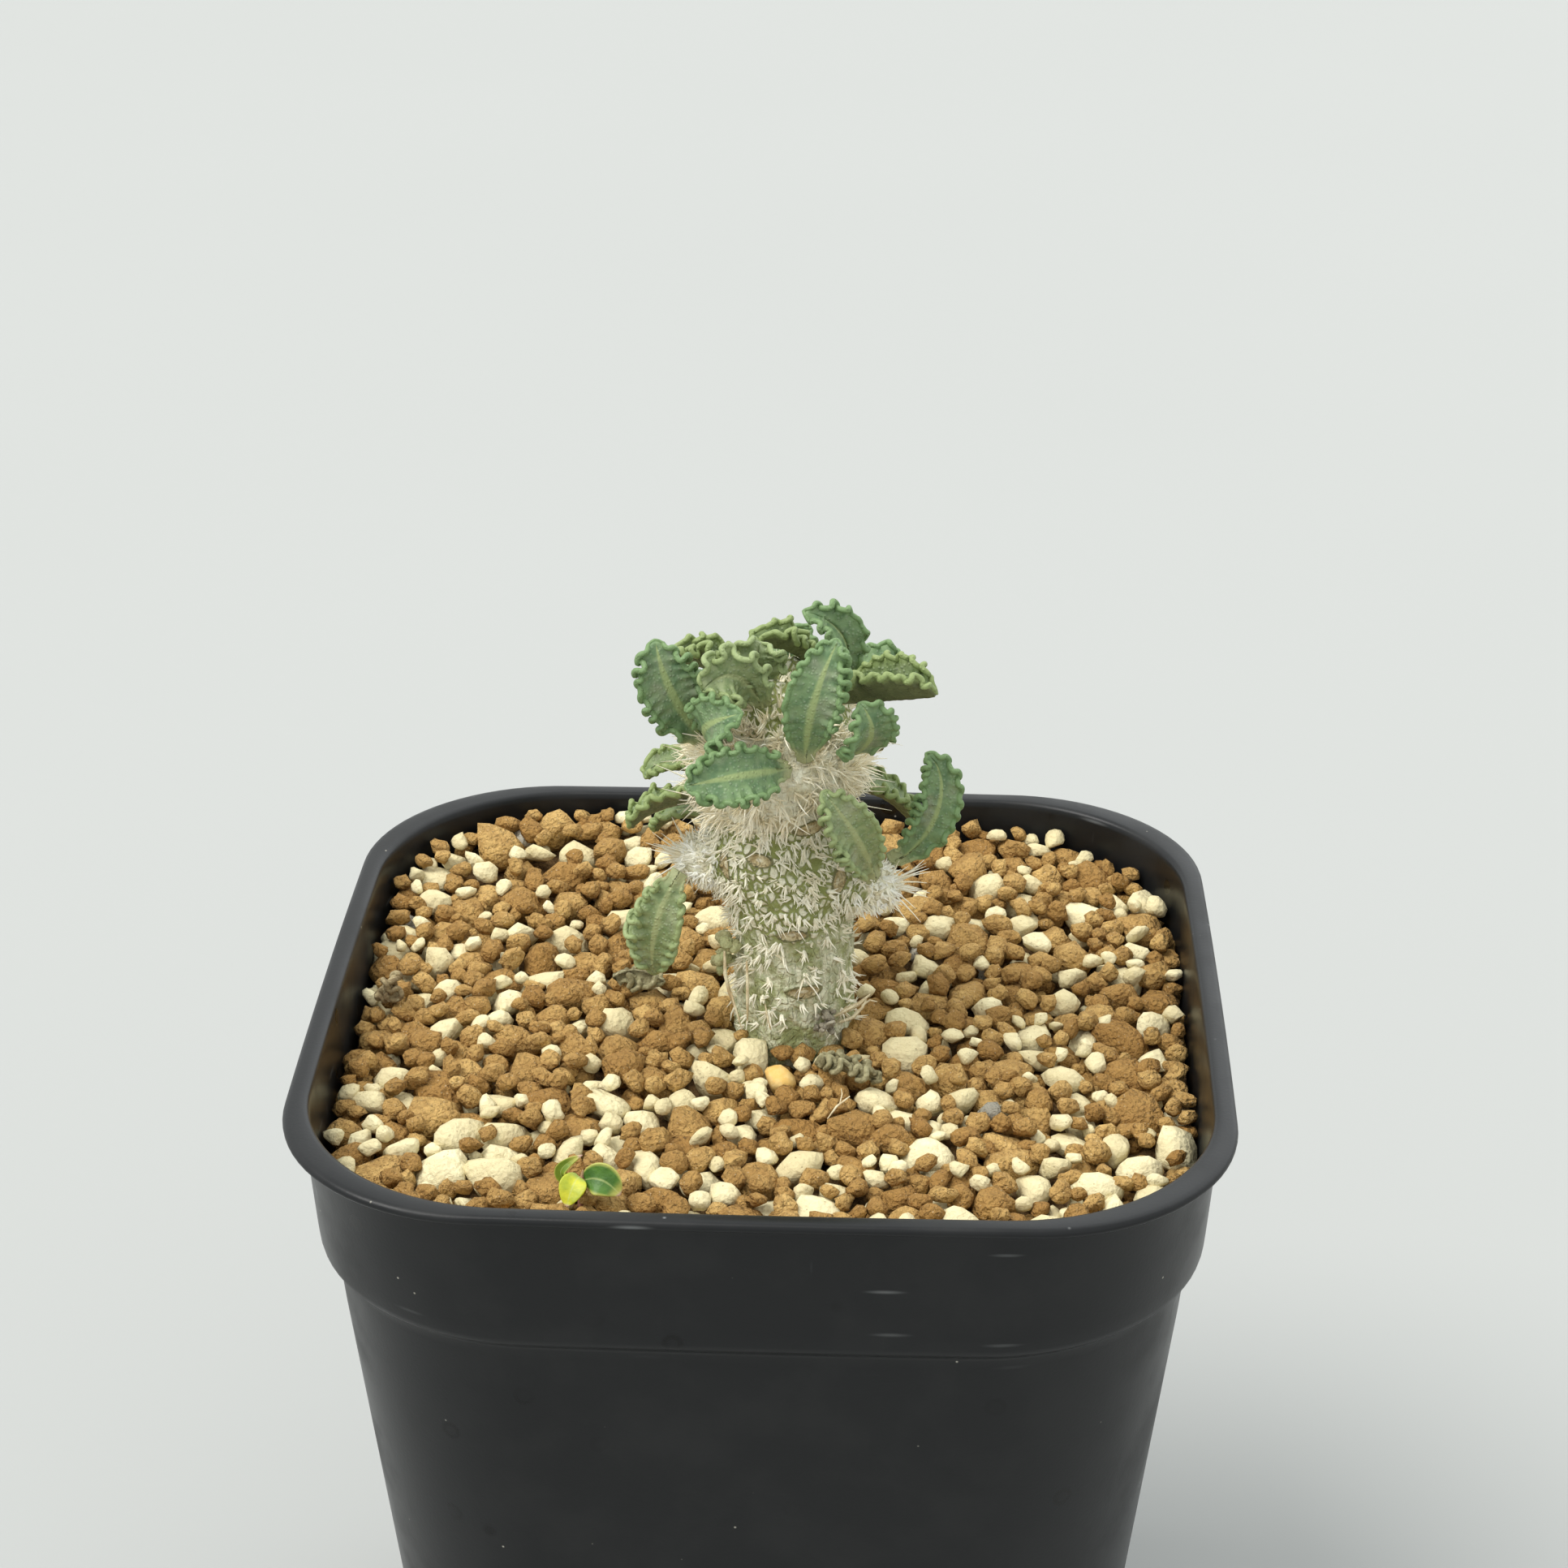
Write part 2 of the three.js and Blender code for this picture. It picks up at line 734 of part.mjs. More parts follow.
function mixEnvelope(top) {
  const wallRise = (top - collarFootZ) / (POT_HEIGHT - LIP_EDGE - collarFootZ);
  const topHalf = innerCollarFoot + wallRise * (innerTop - innerCollarFoot) - SEAT_GAP;
  return skin([
    roundedSquare(innerFoot - 0.9 - SEAT_GAP, footCorner - 2, FLOOR_TOP + SEAT_GAP),
    roundedSquare(innerFoot - SEAT_GAP, footCorner - 1, FLOOR_TOP + 1.2),
    roundedSquare(innerBodyTop - SEAT_GAP, RIM_CORNER - 1, bodyTopZ - 0.1),
    roundedSquare(innerCollarFoot - SEAT_GAP, RIM_CORNER - 0.6, collarFootZ),
    roundedSquare(topHalf, RIM_CORNER - 0.8, top),
  ]);
}

// The top of the mix as one relief: every grain is a rough dome of its own height and tilt, on a
// shaken hexagonal pattern, and neighbours share the dips between them
function grainRelief() {
  const random = seededRandom(5);
  const shake = (amount) => (random() - 0.5) * amount;
  const points = [];
  const triangles = [];
  const dips = new Map();
  const spread = GRAIN_PITCH / Math.sqrt(3);
  const dipAt = (x, y) => {
    const key = `${Math.round((2 * x) / GRAIN_PITCH)} ${Math.round((2 * y) / spread)}`;
    if (!dips.has(key)) {
      const dx = x + shake(1.4);
      const dy = y + shake(1.4);
      dips.set(key, points.push([dx, dy, mixHeight(dx, dy) - GRAIN_RELIEF]) - 1);
    }
    return dips.get(key);
  };
  const reach = RIM_HALF + GRAIN_PITCH;
  const rowPitch = (GRAIN_PITCH * Math.sqrt(3)) / 2;
  const rows = Math.ceil(reach / rowPitch);
  const columns = Math.ceil(reach / GRAIN_PITCH);
  for (let row = -rows; row <= rows; row += 1) {
    for (let column = -columns; column <= columns; column += 1) {
      const x = (column + (row % 2 === 0 ? 0 : 0.5)) * GRAIN_PITCH;
      const y = row * rowPitch;
      const crown = mixHeight(x, y) + shake(1);
      const tiltX = shake(0.5);
      const tiltY = shake(0.5);
      const centre = points.push([x + shake(0.9), y + shake(0.9), crown]) - 1;
      const [cx, cy] = points[centre];
      const ring = [0, 1, 2, 3, 4, 5].map((k) => {
        const angle = ((k + 0.5) * Math.PI) / 3;
        return dipAt(x + spread * Math.cos(angle), y + spread * Math.sin(angle));
      });
      const shoulder = ring.map((dip) => {
        const share = 0.66 + shake(0.16);
        const dx = (points[dip][0] - cx) * share;
        const dy = (points[dip][1] - cy) * share;
        const drop = 0.35 + shake(0.4) - tiltX * dx * 0.5 - tiltY * dy * 0.5;
        return points.push([cx + dx, cy + dy, crown - drop]) - 1;
      });
      ring.forEach((dip, k) => {
        const next = (k + 1) % 6;
        triangles.push([centre, shoulder[k], shoulder[next]]);
        triangles.push([shoulder[k], dip, ring[next]]);
        triangles.push([shoulder[k], ring[next], shoulder[next]]);
      });
    }
  }
  return slabUnder(points, triangles, 0);
}

// A slab whose top is the given surface and whose underside is flat
function slabUnder(points, triangles, floor) {
  const count = points.length;
  const all = [...points, ...points.map(([x, y]) => [x, y, floor])];
  const faces = [...triangles];
  const open = new Map();
  for (const [a, b, c] of triangles) {
    faces.push([a + count, c + count, b + count]);
    for (const [from, to] of [[a, b], [b, c], [c, a]]) {
      if (!open.delete(`${to} ${from}`)) open.set(`${from} ${to}`, [from, to]);
    }
  }
  for (const [from, to] of open.values()) {
    faces.push([from, from + count, to + count], [from, to + count, to]);
  }
  return solid(all, faces);
}

function makeMix(stemHole) {
  return grainRelief().intersect(mixEnvelope(MIX_LEVEL + 8)).subtract(stemHole);
}

// Pieces lying on the mix, as [x, y, bearing in degrees]: dead curled leaves and a weed seedling
const DRY_LEAVES = [
  { name: "dry_leaf_front", place: [8.6, -7.2], bearing: 15, length: 7, width: 3.4 },
  { name: "dry_leaf_left", place: [-11.7, 5.8], bearing: 100, length: 6, width: 3 },
];
const SEEDLING_PLACE = [-13.2, -24.4];

function resting(body, x, y, mix) {
  // Lowered until the piece is a hair above the grains below it
  let low = 0;
  let high = 12;
  for (let i = 0; i < 12; i += 1) {
    const middle = (low + high) / 2;
    const moved = body.translate([x, y, mixHeight(x, y) - 2 + middle]);
    if (moved.minGap(mix, 1) >= SEAT_GAP) high = middle;
    else low = middle;
  }
  return body.translate([x, y, mixHeight(x, y) - 2 + high]);
}

function dryLeaf({ bearing, length, width }) {
  const turn = (bearing * Math.PI) / 180;
  const rows = [];
  for (let i = 0; i <= 8; i += 1) {
    const t = i / 8;
    const half = Math.max(0.35, (width / 2) * Math.sin(Math.PI * Math.pow(t, 0.8)));
    const lift = 0.9 * Math.sin(Math.PI * t);
    rows.push(
      [-1, -0.5, 0, 0.5, 1].map((v) => {
        const x = (t - 0.5) * length;
        const y = v * half;
        const z = 1 + lift + 0.9 * v * v + 0.3 * v * Math.sin(9 * t);
        return new THREE.Vector3(
          x * Math.cos(turn) - y * Math.sin(turn),
          x * Math.sin(turn) + y * Math.cos(turn),
          z,
        );
      }),
    );
  }
  return blade(rows, () => 0.62);
}

function seedling() {
  const leafAt = (bearing, rise, length, width) => {
    const turn = (bearing * Math.PI) / 180;
    const rows = [];
    for (let i = 0; i <= 6; i += 1) {
      const t = i / 6;
      const half = Math.max(0.4, (width / 2) * Math.sin(Math.PI * Math.pow(t, 0.75)));
      rows.push(
        [-1, 0, 1].map((v) => {
          const reach = 0.2 + t * length * Math.cos(rise);
          const side = v * half;
          return new THREE.Vector3(
            reach * Math.cos(turn) - side * Math.sin(turn),
            reach * Math.sin(turn) + side * Math.cos(turn),
            2.2 + t * length * Math.sin(rise) + 0.35 * Math.abs(v) - 0.5 * t * t,
          );
        }),
      );
    }
    return blade(rows, () => 0.62);
  };
  return Manifold.union([
    drum(0.45, 0, 0, 0.6, 2.6, 6),
    leafAt(175, 0.25, 2.6, 2),
    leafAt(5, 0.3, 3, 2.2),
    leafAt(100, 0.9, 2.6, 1.4),
  ]);
}

// Colours are typical values for each piece
const group = new THREE.Group();
group.name = "potted_spurge";

function addNode(name, body, colour, roughness) {
  const mesh = body.simplify(SLIVER).getMesh();
  const geometry = new THREE.BufferGeometry();
  geometry.setAttribute("position", new THREE.BufferAttribute(mesh.vertProperties, 3));
  geometry.setIndex(new THREE.BufferAttribute(mesh.triVerts, 1));
  const material = new THREE.MeshStandardMaterial({ color: colour, roughness, metalness: 0 });
  const node = new THREE.Mesh(geometry, material);
  node.name = name;
  group.add(node);
}

const core = stemCore(0);
const clearance = stemCore(SEAT_GAP + 0.05);
const leafBodies = LEAVES.map((leaf) => ({
  name: leaf.name,
  body: largestPiece(makeLeaf(leaf).subtract(clearance)),
}));

let stem = core;
for (const [root, direction, length] of bristleSpots()) {
  const hair = bristle(root, direction, length);
  if (leafBodies.every(({ body }) => hair.minGap(body, 0.4) >= 0.25)) stem = stem.add(hair);
}
stem = largestPiece(stem);

const stemHole = stemSkin(SEAT_GAP).trimByPlane([0, 0, -1], -(PLANT_Z + 8));
const mix = largestPiece(makeMix(stemHole));

addNode("pot", makePot(), 0x2f3134, 0.42);
addNode("growing_mix", mix, 0x6b5138, 0.95);
addNode("stem", stem, 0x8f9278, 0.85);
for (const { name, body } of leafBodies) addNode(name, body, 0x5c7f55, 0.7);
for (const piece of DRY_LEAVES) {
  const [x, y] = piece.place;
  addNode(piece.name, resting(dryLeaf(piece), x, y, mix), 0x8a7450, 0.85);
}
addNode("seedling", resting(seedling(), ...SEEDLING_PLACE, mix), 0x6f9a3c, 0.6);

export default group;
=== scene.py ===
import math
import random

import bmesh
import bpy
import numpy as np
from mathutils import Euler, Matrix, Vector, noise


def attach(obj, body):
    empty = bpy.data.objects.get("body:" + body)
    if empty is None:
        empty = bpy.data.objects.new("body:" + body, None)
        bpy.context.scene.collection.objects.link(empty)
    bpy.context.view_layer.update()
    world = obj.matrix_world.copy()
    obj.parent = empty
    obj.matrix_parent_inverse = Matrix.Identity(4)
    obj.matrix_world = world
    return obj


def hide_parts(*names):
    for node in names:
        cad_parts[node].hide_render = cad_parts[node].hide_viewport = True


# A young bristly spurge with crinkled leaves, in a square black nursery pot of gritty mix.
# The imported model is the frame. Sizes below are written in millimetres and turned to metres once.
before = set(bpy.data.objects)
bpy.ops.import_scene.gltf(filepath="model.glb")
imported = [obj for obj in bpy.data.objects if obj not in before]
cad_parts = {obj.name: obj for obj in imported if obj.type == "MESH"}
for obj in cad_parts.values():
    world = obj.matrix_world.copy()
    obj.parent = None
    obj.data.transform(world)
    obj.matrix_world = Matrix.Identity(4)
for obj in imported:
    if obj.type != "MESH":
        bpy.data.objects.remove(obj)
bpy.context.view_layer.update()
MM = 0.001


# Table and light: a smooth pale sheet under the pot, a broad soft lamp high on the left,
# a weaker one behind on the right, and even pale light from all round.
def material(name, roughness, specular=0.5):
    """A new material, its node tree, its shader and the place on the object that its effects read."""
    made = bpy.data.materials.new(name)
    made.use_nodes = True
    shader = made.node_tree.nodes["Principled BSDF"]
    shader.inputs["Roughness"].default_value = roughness
    shader.inputs["Specular IOR Level"].default_value = specular
    return made, made.node_tree, shader, put(made.node_tree, "TexCoord").outputs["Object"]


def put(tree, kind, inputs=None, **settings):
    """A node of that kind. Each input gets a link where it is given a socket, and a value otherwise."""
    made = tree.nodes.new("ShaderNode" + kind)
    for key, value in settings.items():
        setattr(made, key, value)
    for key, value in (inputs or {}).items():
        if isinstance(value, bpy.types.NodeSocket):
            tree.links.new(value, made.inputs[key])
        else:
            made.inputs[key].default_value = value
    return made


def blend(tree, factor, first, second, how="MIX"):
    """One colour turning into another by a factor. Each is a socket, or red, green and blue."""
    colours = {0: factor}
    for slot, end in ((6, first), (7, second)):
        colours[slot] = end if isinstance(end, bpy.types.NodeSocket) else (*end, 1.0)
    return put(tree, "Mix", colours, data_type="RGBA", blend_type=how).outputs[2]


def ramp(tree, value, low, high):
    """0 where the value is at low, 1 where it is at high, and smooth between."""
    ends = {"Value": value, "From Min": low, "From Max": high}
    return put(tree, "MapRange", ends, interpolation_type="SMOOTHSTEP").outputs[0]


def grade(tree, first, how, second):
    """A sum, product or the like of two numbers."""
    return put(tree, "Math", {0: first, 1: second}, operation=how).outputs[0]


def times(tree, first, second):
    return grade(tree, first, "MULTIPLY", second)


def painted(tree, name):
    """What is painted on the mesh under that name, as a number or as three."""
    return put(tree, "Attribute", attribute_name=name).outputs


def stretched(tree, place, scale):
    """The place, scaled along each axis, which draws an effect out along the axis with the least."""
    return put(tree, "Mapping", {"Vector": place, "Scale": scale}).outputs[0]


def cloud(tree, place, per_mm, detail=3.0, rough=0.55):
    """Soft noise with that many turns to the millimetre."""
    inputs = {"Vector": place, "Scale": per_mm / MM, "Detail": detail, "Roughness": rough}
    return put(tree, "TexNoise", inputs).outputs[0]


def coat(tree, shader, shade, height, depth_mm, strength=1.0):
    """The finish's colour, and bumps on its surface from a height of 0 to 1."""
    tree.links.new(shade, shader.inputs["Base Color"])
    inputs = {"Height": height, "Distance": depth_mm * MM, "Strength": strength}
    bump = put(tree, "Bump", inputs)
    tree.links.new(bump.outputs[0], shader.inputs["Normal"])


def mesh_from(name, built):
    shape = bpy.data.meshes.new(name)
    built.to_mesh(shape)
    built.free()
    return shape


def placed(name, data):
    """A new object with that data, in the scene."""
    made = bpy.data.objects.new(name, data)
    bpy.context.scene.collection.objects.link(made)
    return made


TABLE_HALF = 2.5
TABLE_PALE = (0.40, 0.4075, 0.40)
TABLE_GREY = (0.385, 0.3925, 0.385)

table_finish, tree, shader, place = material("table_paper", 0.75, 0.2)
shade = blend(tree, cloud(tree, place, 0.004), TABLE_PALE, TABLE_GREY)
tree.links.new(shade, shader.inputs["Base Color"])

bm = bmesh.new()
bmesh.ops.create_grid(bm, x_segments=1, y_segments=1, size=TABLE_HALF)
mesh = mesh_from("table", bm)
mesh.materials.append(table_finish)
table = placed("table", mesh)


def lamp(name, way_from, spread, power, tint):
    """A very broad far lamp, given by the way that it shines from and how wide it looks."""
    data = bpy.data.lights.new(name, "SUN")
    data.angle = math.radians(spread)
    data.energy = power
    data.color = tint
    placed(name, data).rotation_euler = Vector(way_from).to_track_quat("Z", "Y").to_euler()


lamp("lamp_left", (-0.55, -0.15, 1.0), 38, 2.5, (1.0, 0.985, 0.95))
lamp("lamp_back", (0.5, 0.8, 0.8), 60, 0.7, (0.93, 0.97, 1.0))

world = bpy.data.worlds.new("pale_room")
world.use_nodes = True
world.node_tree.nodes["Background"].inputs["Color"].default_value = (0.93, 0.96, 0.95, 1.0)
world.node_tree.nodes["Background"].inputs["Strength"].default_value = 1.12
bpy.context.scene.world = world
bpy.context.scene.view_settings.view_transform = "Standard"


# Camera: on the photograph's side, a little above the rim, level with the picture's sides.
CAMERA_AIM = (0.001038, 0.0, 0.09335)
CAMERA_DISTANCE = 0.286319
CAMERA_YAW = math.radians(2.2258)
CAMERA_ELEVATION = math.radians(25.548)
CAMERA_ROLL = math.radians(0.2082)

lens = bpy.data.cameras.new("camera")
lens.sensor_width = 36
lens.lens = 80.81
lens.clip_start = 0.01
camera = placed("camera", lens)
camera.matrix_world = (
    Matrix.Translation(CAMERA_AIM)
    @ Matrix.Rotation(CAMERA_YAW, 4, "Z")
    @ Matrix.Rotation(math.radians(90) - CAMERA_ELEVATION, 4, "X")
    @ Matrix.Rotation(CAMERA_ROLL, 4, "Z")
    @ Matrix.Translation((0, 0, CAMERA_DISTANCE))
)
bpy.context.scene.camera = camera


# Pot: one thin black plastic moulding, square with rounded corners. A stepped collar stands out under
# the turned-out lip, and five round drain holes go through the raised floor inside the foot ring.
POT_BLACK = (0.0052, 0.0058, 0.0066)
POT_WORN = (0.010, 0.0105, 0.011)
WATER_MARK = (0.0015, 0.0018, 0.002)
CHALK = (0.30, 0.31, 0.31)
DUST = (0.42, 0.40, 0.34)
SIDE_BOW = 0.15
DRAIN_HOLES = [(0, 0, 5), (-15, -15, 4), (15, -15, 4), (-15, 15, 4), (15, 15, 4)]

# Half width, corner radius and height from the middle of the underside, round the wall, to the floor
POT_PROFILE = [
    (0.01, 0.005, 1.2), (8, 4, 1.2), (16, 8, 1.2), (25.6, 12.8, 1.2), (25.8, 12.9, 1.1),
    (25.9, 12.9, 0.15), (26.0, 13.0, 0.0), (27.3, 14.4, 0.0), (27.55, 14.4, 0.05), (27.75, 14.4, 0.25),
    (27.85, 14.4, 0.6), (29.0, 15.0, 11.0), (30.2, 15.7, 22.0), (31.45, 16.3, 33.5), (32.7, 16.9, 45.0),
    (33.9, 17.5, 56.0), (34.35, 17.85, 60.5), (34.45, 17.9, 61.3), (34.55, 17.9, 61.6),
    (34.85, 18.0, 61.9), (35.25, 18.1, 62.25), (35.48, 18.2, 62.6), (35.58, 18.3, 63.0),
    (35.66, 18.2, 64.2), (35.9, 17.9, 68.6), (36.12, 17.6, 72.4), (36.2, 17.4, 73.3), (36.25, 17.2, 73.85),
    (36.38, 17.0, 74.1), (36.7, 16.8, 74.18), (37.05, 16.7, 74.2), (37.24, 16.6, 74.28),
    (37.33, 16.6, 74.44), (37.35, 16.6, 74.62), (37.28, 16.6, 74.82), (37.12, 16.6, 74.94),
    (36.9, 16.65, 75.0), (36.4, 16.75, 75.0),
    (36.0, 16.85, 74.98), (35.76, 16.9, 74.9), (35.62, 16.9, 74.72), (35.55, 16.9, 74.3), (35.5, 17.0, 73.4),
    (35.2, 17.2, 68.4), (34.95, 17.3, 64.2), (34.86, 17.3, 63.2), (34.66, 17.2, 62.7), (34.15, 17.0, 62.1),
    (33.85, 16.9, 61.5), (33.7, 16.85, 60.4), (32.65, 16.3, 51.0), (31.1, 15.6, 37.0), (29.25, 14.6, 20.0),
    (27.5, 13.5, 4.3), (27.42, 13.4, 3.6), (27.1, 13.2, 3.0), (26.5, 12.9, 2.62), (24, 12, 2.6),
    (15, 7.5, 2.6), (7, 3.5, 2.6), (0.01, 0.005, 2.6),
]
POT_AROUND = 160


def along_square(half, corner, turn):
    """The point on a rounded square with slightly bowed sides, at a turn of 0 to 1 from the +X side."""
    quarter = int(turn * 4) % 4
    rest = turn * 4 - int(turn * 4)
    straight = half - corner
    if rest < 0.25:
        step = rest / 0.25 * straight
        spot = Vector((half, step))
    elif rest < 0.75:
        angle = (rest - 0.25) * math.pi
        spot = Vector((straight + corner * math.cos(angle), straight + corner * math.sin(angle)))
    else:
        step = (rest - 0.75) / 0.25 * straight
        spot = Vector((straight - step, half))
    if rest < 0.25 or rest > 0.75:
        from_middle = step / straight if rest < 0.25 else 1 - step / straight
        out = min(1.0, half / 20) * SIDE_BOW * (1 - from_middle**2)
        spot += Vector((out, 0)) if rest < 0.25 else Vector((0, out))
    spot.rotate(Matrix.Rotation(quarter * math.pi / 2, 2))
    return spot


def rolled_sheet(around, along, spot_at, mark_at=None):
    """A flat grid rolled into a closed skin. spot_at gives the place, in mm, of each (round, along),
    and mark_at, where there is one, three numbers that the finish reads there."""
    rolled = bmesh.new()
    bmesh.ops.create_grid(rolled, x_segments=around, y_segments=along, size=0.5)
    marks = rolled.verts.layers.float_vector.new("mark") if mark_at else None
    for vert in rolled.verts:
        turn = (vert.co.x + 0.5) % 1.0 if vert.co.x < 0.4999 else 0.0
        share = min(1.0, max(0.0, vert.co.y + 0.5))
        if mark_at:
            vert[marks] = Vector(mark_at(turn, share))
        vert.co = Vector(spot_at(turn, share)) * MM
    bmesh.ops.remove_doubles(rolled, verts=rolled.verts, dist=0.002 * MM)
    ends = [edge for edge in rolled.edges if edge.is_boundary]
    if ends:
        bmesh.ops.holes_fill(rolled, edges=ends, sides=0)
    bmesh.ops.recalc_face_normals(rolled, faces=rolled.faces)
    return rolled


def piece(name, built, finish, stands_for=()):
    """The finished object of one piece: its mesh, material, body and nodes."""
    shape = mesh_from(name, built)
    shape.materials.append(finish)
    shape.shade_smooth()
    made = placed(name, shape)
    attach(made, "root")
    if stands_for:
        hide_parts(*stands_for)
    return made


def shape_of(changed):
    """The mesh of an object as its modifiers leave it, in a new bmesh, and the object is gone."""
    graph = bpy.context.evaluated_depsgraph_get()
    shape = bpy.data.meshes.new_from_object(changed.evaluated_get(graph))
    built = bmesh.new()
    built.from_mesh(shape)
    bpy.data.meshes.remove(shape)
    bpy.data.objects.remove(changed)
    return built


def pot_spot(turn, along):
    half, corner, height = POT_PROFILE[round(along * (len(POT_PROFILE) - 1))]
    spot = along_square(half, corner, turn)
    return spot.x, spot.y, height


shell = placed("shell", mesh_from("shell", rolled_sheet(POT_AROUND, len(POT_PROFILE) - 1, pot_spot)))
bm = bmesh.new()
for x, y, radius in DRAIN_HOLES:
    bmesh.ops.create_cone(
        bm, cap_ends=True, segments=40, radius1=radius * MM, radius2=radius * MM, depth=8 * MM,
        matrix=Matrix.Translation((x * MM, y * MM, 1.5 * MM)),
    )
cutter = placed("cutter", mesh_from("cutter", bm))
cut = shell.modifiers.new("drain_holes", "BOOLEAN")
cut.object = cutter
cut.solver = "EXACT"
bpy.context.view_layer.update()
bm = shape_of(shell)
bpy.data.objects.remove(cutter)


# Specks: small scattered dots of that many to the millimetre, of which only the share given stays
def effect(name, inputs, outputs):
    """An empty node group with its named inputs and outputs."""
    group = bpy.data.node_groups.new(name, "ShaderNodeTree")
    for label, kind, value in inputs:
        socket = group.interface.new_socket(label, in_out="INPUT", socket_type="NodeSocket" + kind)
        if value is not None:
            socket.default_value = value
    for label, kind in outputs:
        group.interface.new_socket(label, in_out="OUTPUT", socket_type="NodeSocket" + kind)
    return group, group.nodes.new("NodeGroupInput"), group.nodes.new("NodeGroupOutput")


specks, given, result = effect(
    "specks",
    [
        ("Place", "Vector", None), ("Per metre", "Float", 1000.0),
        ("Size", "Float", 0.3), ("Share", "Float", 0.5),
    ],
    [("Mask", "Float")],
)
cells = put(specks, "TexVoronoi", {"Vector": given.outputs[0], "Scale": given.outputs[1]})
picked = put(specks, "SeparateColor", {0: cells.outputs["Color"]}).outputs[0]
kept = grade(specks, picked, "LESS_THAN", given.outputs[3])
dot = ramp(specks, cells.outputs["Distance"], given.outputs[2], 0.0)
specks.links.new(times(specks, dot, kept), result.inputs[0])

# Crumb: the uneven tone and pitted relief of a dry natural surface, coarse and fine together
crumb, given, result = effect(
    "crumb",
    [("Place", "Vector", None), ("Per metre", "Float", 1000.0)],
    [("Tone", "Float"), ("Height", "Float")],
)
wide = {0: given.outputs[0], "Scale": given.outputs[1], "Detail": 4.0, "Roughness": 0.6}
coarse = put(crumb, "TexNoise", wide)
closer = times(crumb, given.outputs[1], 3.2)
fine = put(crumb, "TexNoise", {0: given.outputs[0], "Scale": closer, "Detail": 3.0, "Roughness": 0.65})
pits = put(crumb, "TexVoronoi", {"Vector": given.outputs[0], "Scale": closer})
crumb.links.new(ramp(crumb, coarse.outputs[0], 0.35, 0.65), result.inputs[0])
pitted = times(crumb, pits.outputs["Distance"], 0.5)
crumb.links.new(grade(crumb, fine.outputs[0], "ADD", pitted), result.inputs[1])


def use(tree, group, inputs):
    """A node group placed in a material."""
    made = tree.nodes.new("ShaderNodeGroup")
    made.node_tree = group
    for key, value in inputs.items():
        if isinstance(value, bpy.types.NodeSocket):
            tree.links.new(value, made.inputs[key])
        else:
            made.inputs[key].default_value = value
    return made


def flecks(tree, place, per_metre, size, share):
    """The mask of specks of that fineness."""
    given = {"Place": place, "Per metre": per_metre, "Size": size, "Share": share}
    return use(tree, specks, given).outputs[0]


def crumbly(tree, place, per_metre):
    """The tone and the height of crumb of that fineness."""
    return use(tree, crumb, {"Place": place, "Per metre": per_metre}).outputs


pot_finish, tree, shader, place = material("black_moulded_plastic", 0.4, 0.3)
handled = ramp(tree, cloud(tree, place, 0.12, 5.0), 0.42, 0.72)
shade = blend(tree, handled, POT_BLACK, POT_WORN)

# Dried drops: dull rings and dots in loose groups
wet = flecks(tree, place, 330.0, 0.42, 0.25)
ring = grade(tree, ramp(tree, wet, 0.1, 0.35), "SUBTRACT", ramp(tree, wet, 0.55, 0.8))
area = ramp(tree, cloud(tree, place, 0.05, 1.0), 0.44, 0.56)
wet = grade(tree, times(tree, wet, 0.5), "ADD", ring)
wet = times(tree, wet, area)
shade = blend(tree, times(tree, wet, 0.85), shade, WATER_MARK)

# Chalk: thin pale streaks that ran down the walls, and short scuffs along the lip
upright = stretched(tree, place, (1.0, 1.0, 0.07))
streak = flecks(tree, upright, 1100.0, 0.22, 0.12)
streaked = ramp(tree, cloud(tree, place, 0.09, 2.0), 0.50, 0.66)
height = put(tree, "SeparateXYZ", {0: place}).outputs[2]
near_rim = ramp(tree, height, 0.058, 0.072)
streak = times(tree, times(tree, streak, streaked), near_rim)
level = stretched(tree, place, (0.12, 0.12, 1.0))
scuff = flecks(tree, level, 900.0, 0.22, 0.17)
scuff = times(tree, times(tree, scuff, near_rim), 0.5)
chalky = grade(tree, streak, "MAXIMUM", scuff)
shade = blend(tree, times(tree, chalky, 0.75), shade, CHALK)

lint = flecks(tree, place, 700.0, 0.10, 0.10)
shade = blend(tree, lint, shade, DUST)
dull = grade(tree, times(tree, handled, 0.14), "ADD", 0.34)
dull = grade(tree, dull, "SUBTRACT", times(tree, wet, 0.10))
tree.links.new(dull, shader.inputs["Roughness"])
skin_relief = grade(tree, cloud(tree, place, 3.5, 2.0), "ADD", times(tree, lint, 1.5))
coat(tree, shader, shade, skin_relief, 0.012, 0.6)
piece("pot_moulding", bm, pot_finish, ["pot"])


# Growing mix: loose dry grit, a few millimetres below the rim in front and banked up to it at the back.
# Brown crumbly lumps, cream worn pebbles and a few speckled grey ones lie packed over a bed of fine grit,
# whose dark brown is partly real and partly painted shade for the gaps between the grains.
GRIT_BED_DARK_AND_SHADE = (0.10, 0.058, 0.026)
GRIT_BED_BROWN = (0.24, 0.145, 0.06)
MIX_TOP = 70.6
MIX_SLOPE_X = -0.018
MIX_SLOPE_Y = 0.05
MIX_BACK_START = 5
MIX_BACK_RISE = 1.6
MIX_BACK_LEAN = 0.01
BED_DROP = 3.0
WALL_HALF = 35.25
WALL_CORNER = 17.1
PLANT = Vector((1.85, 3.4, 69.4))
STEM_ROOM = 4.9
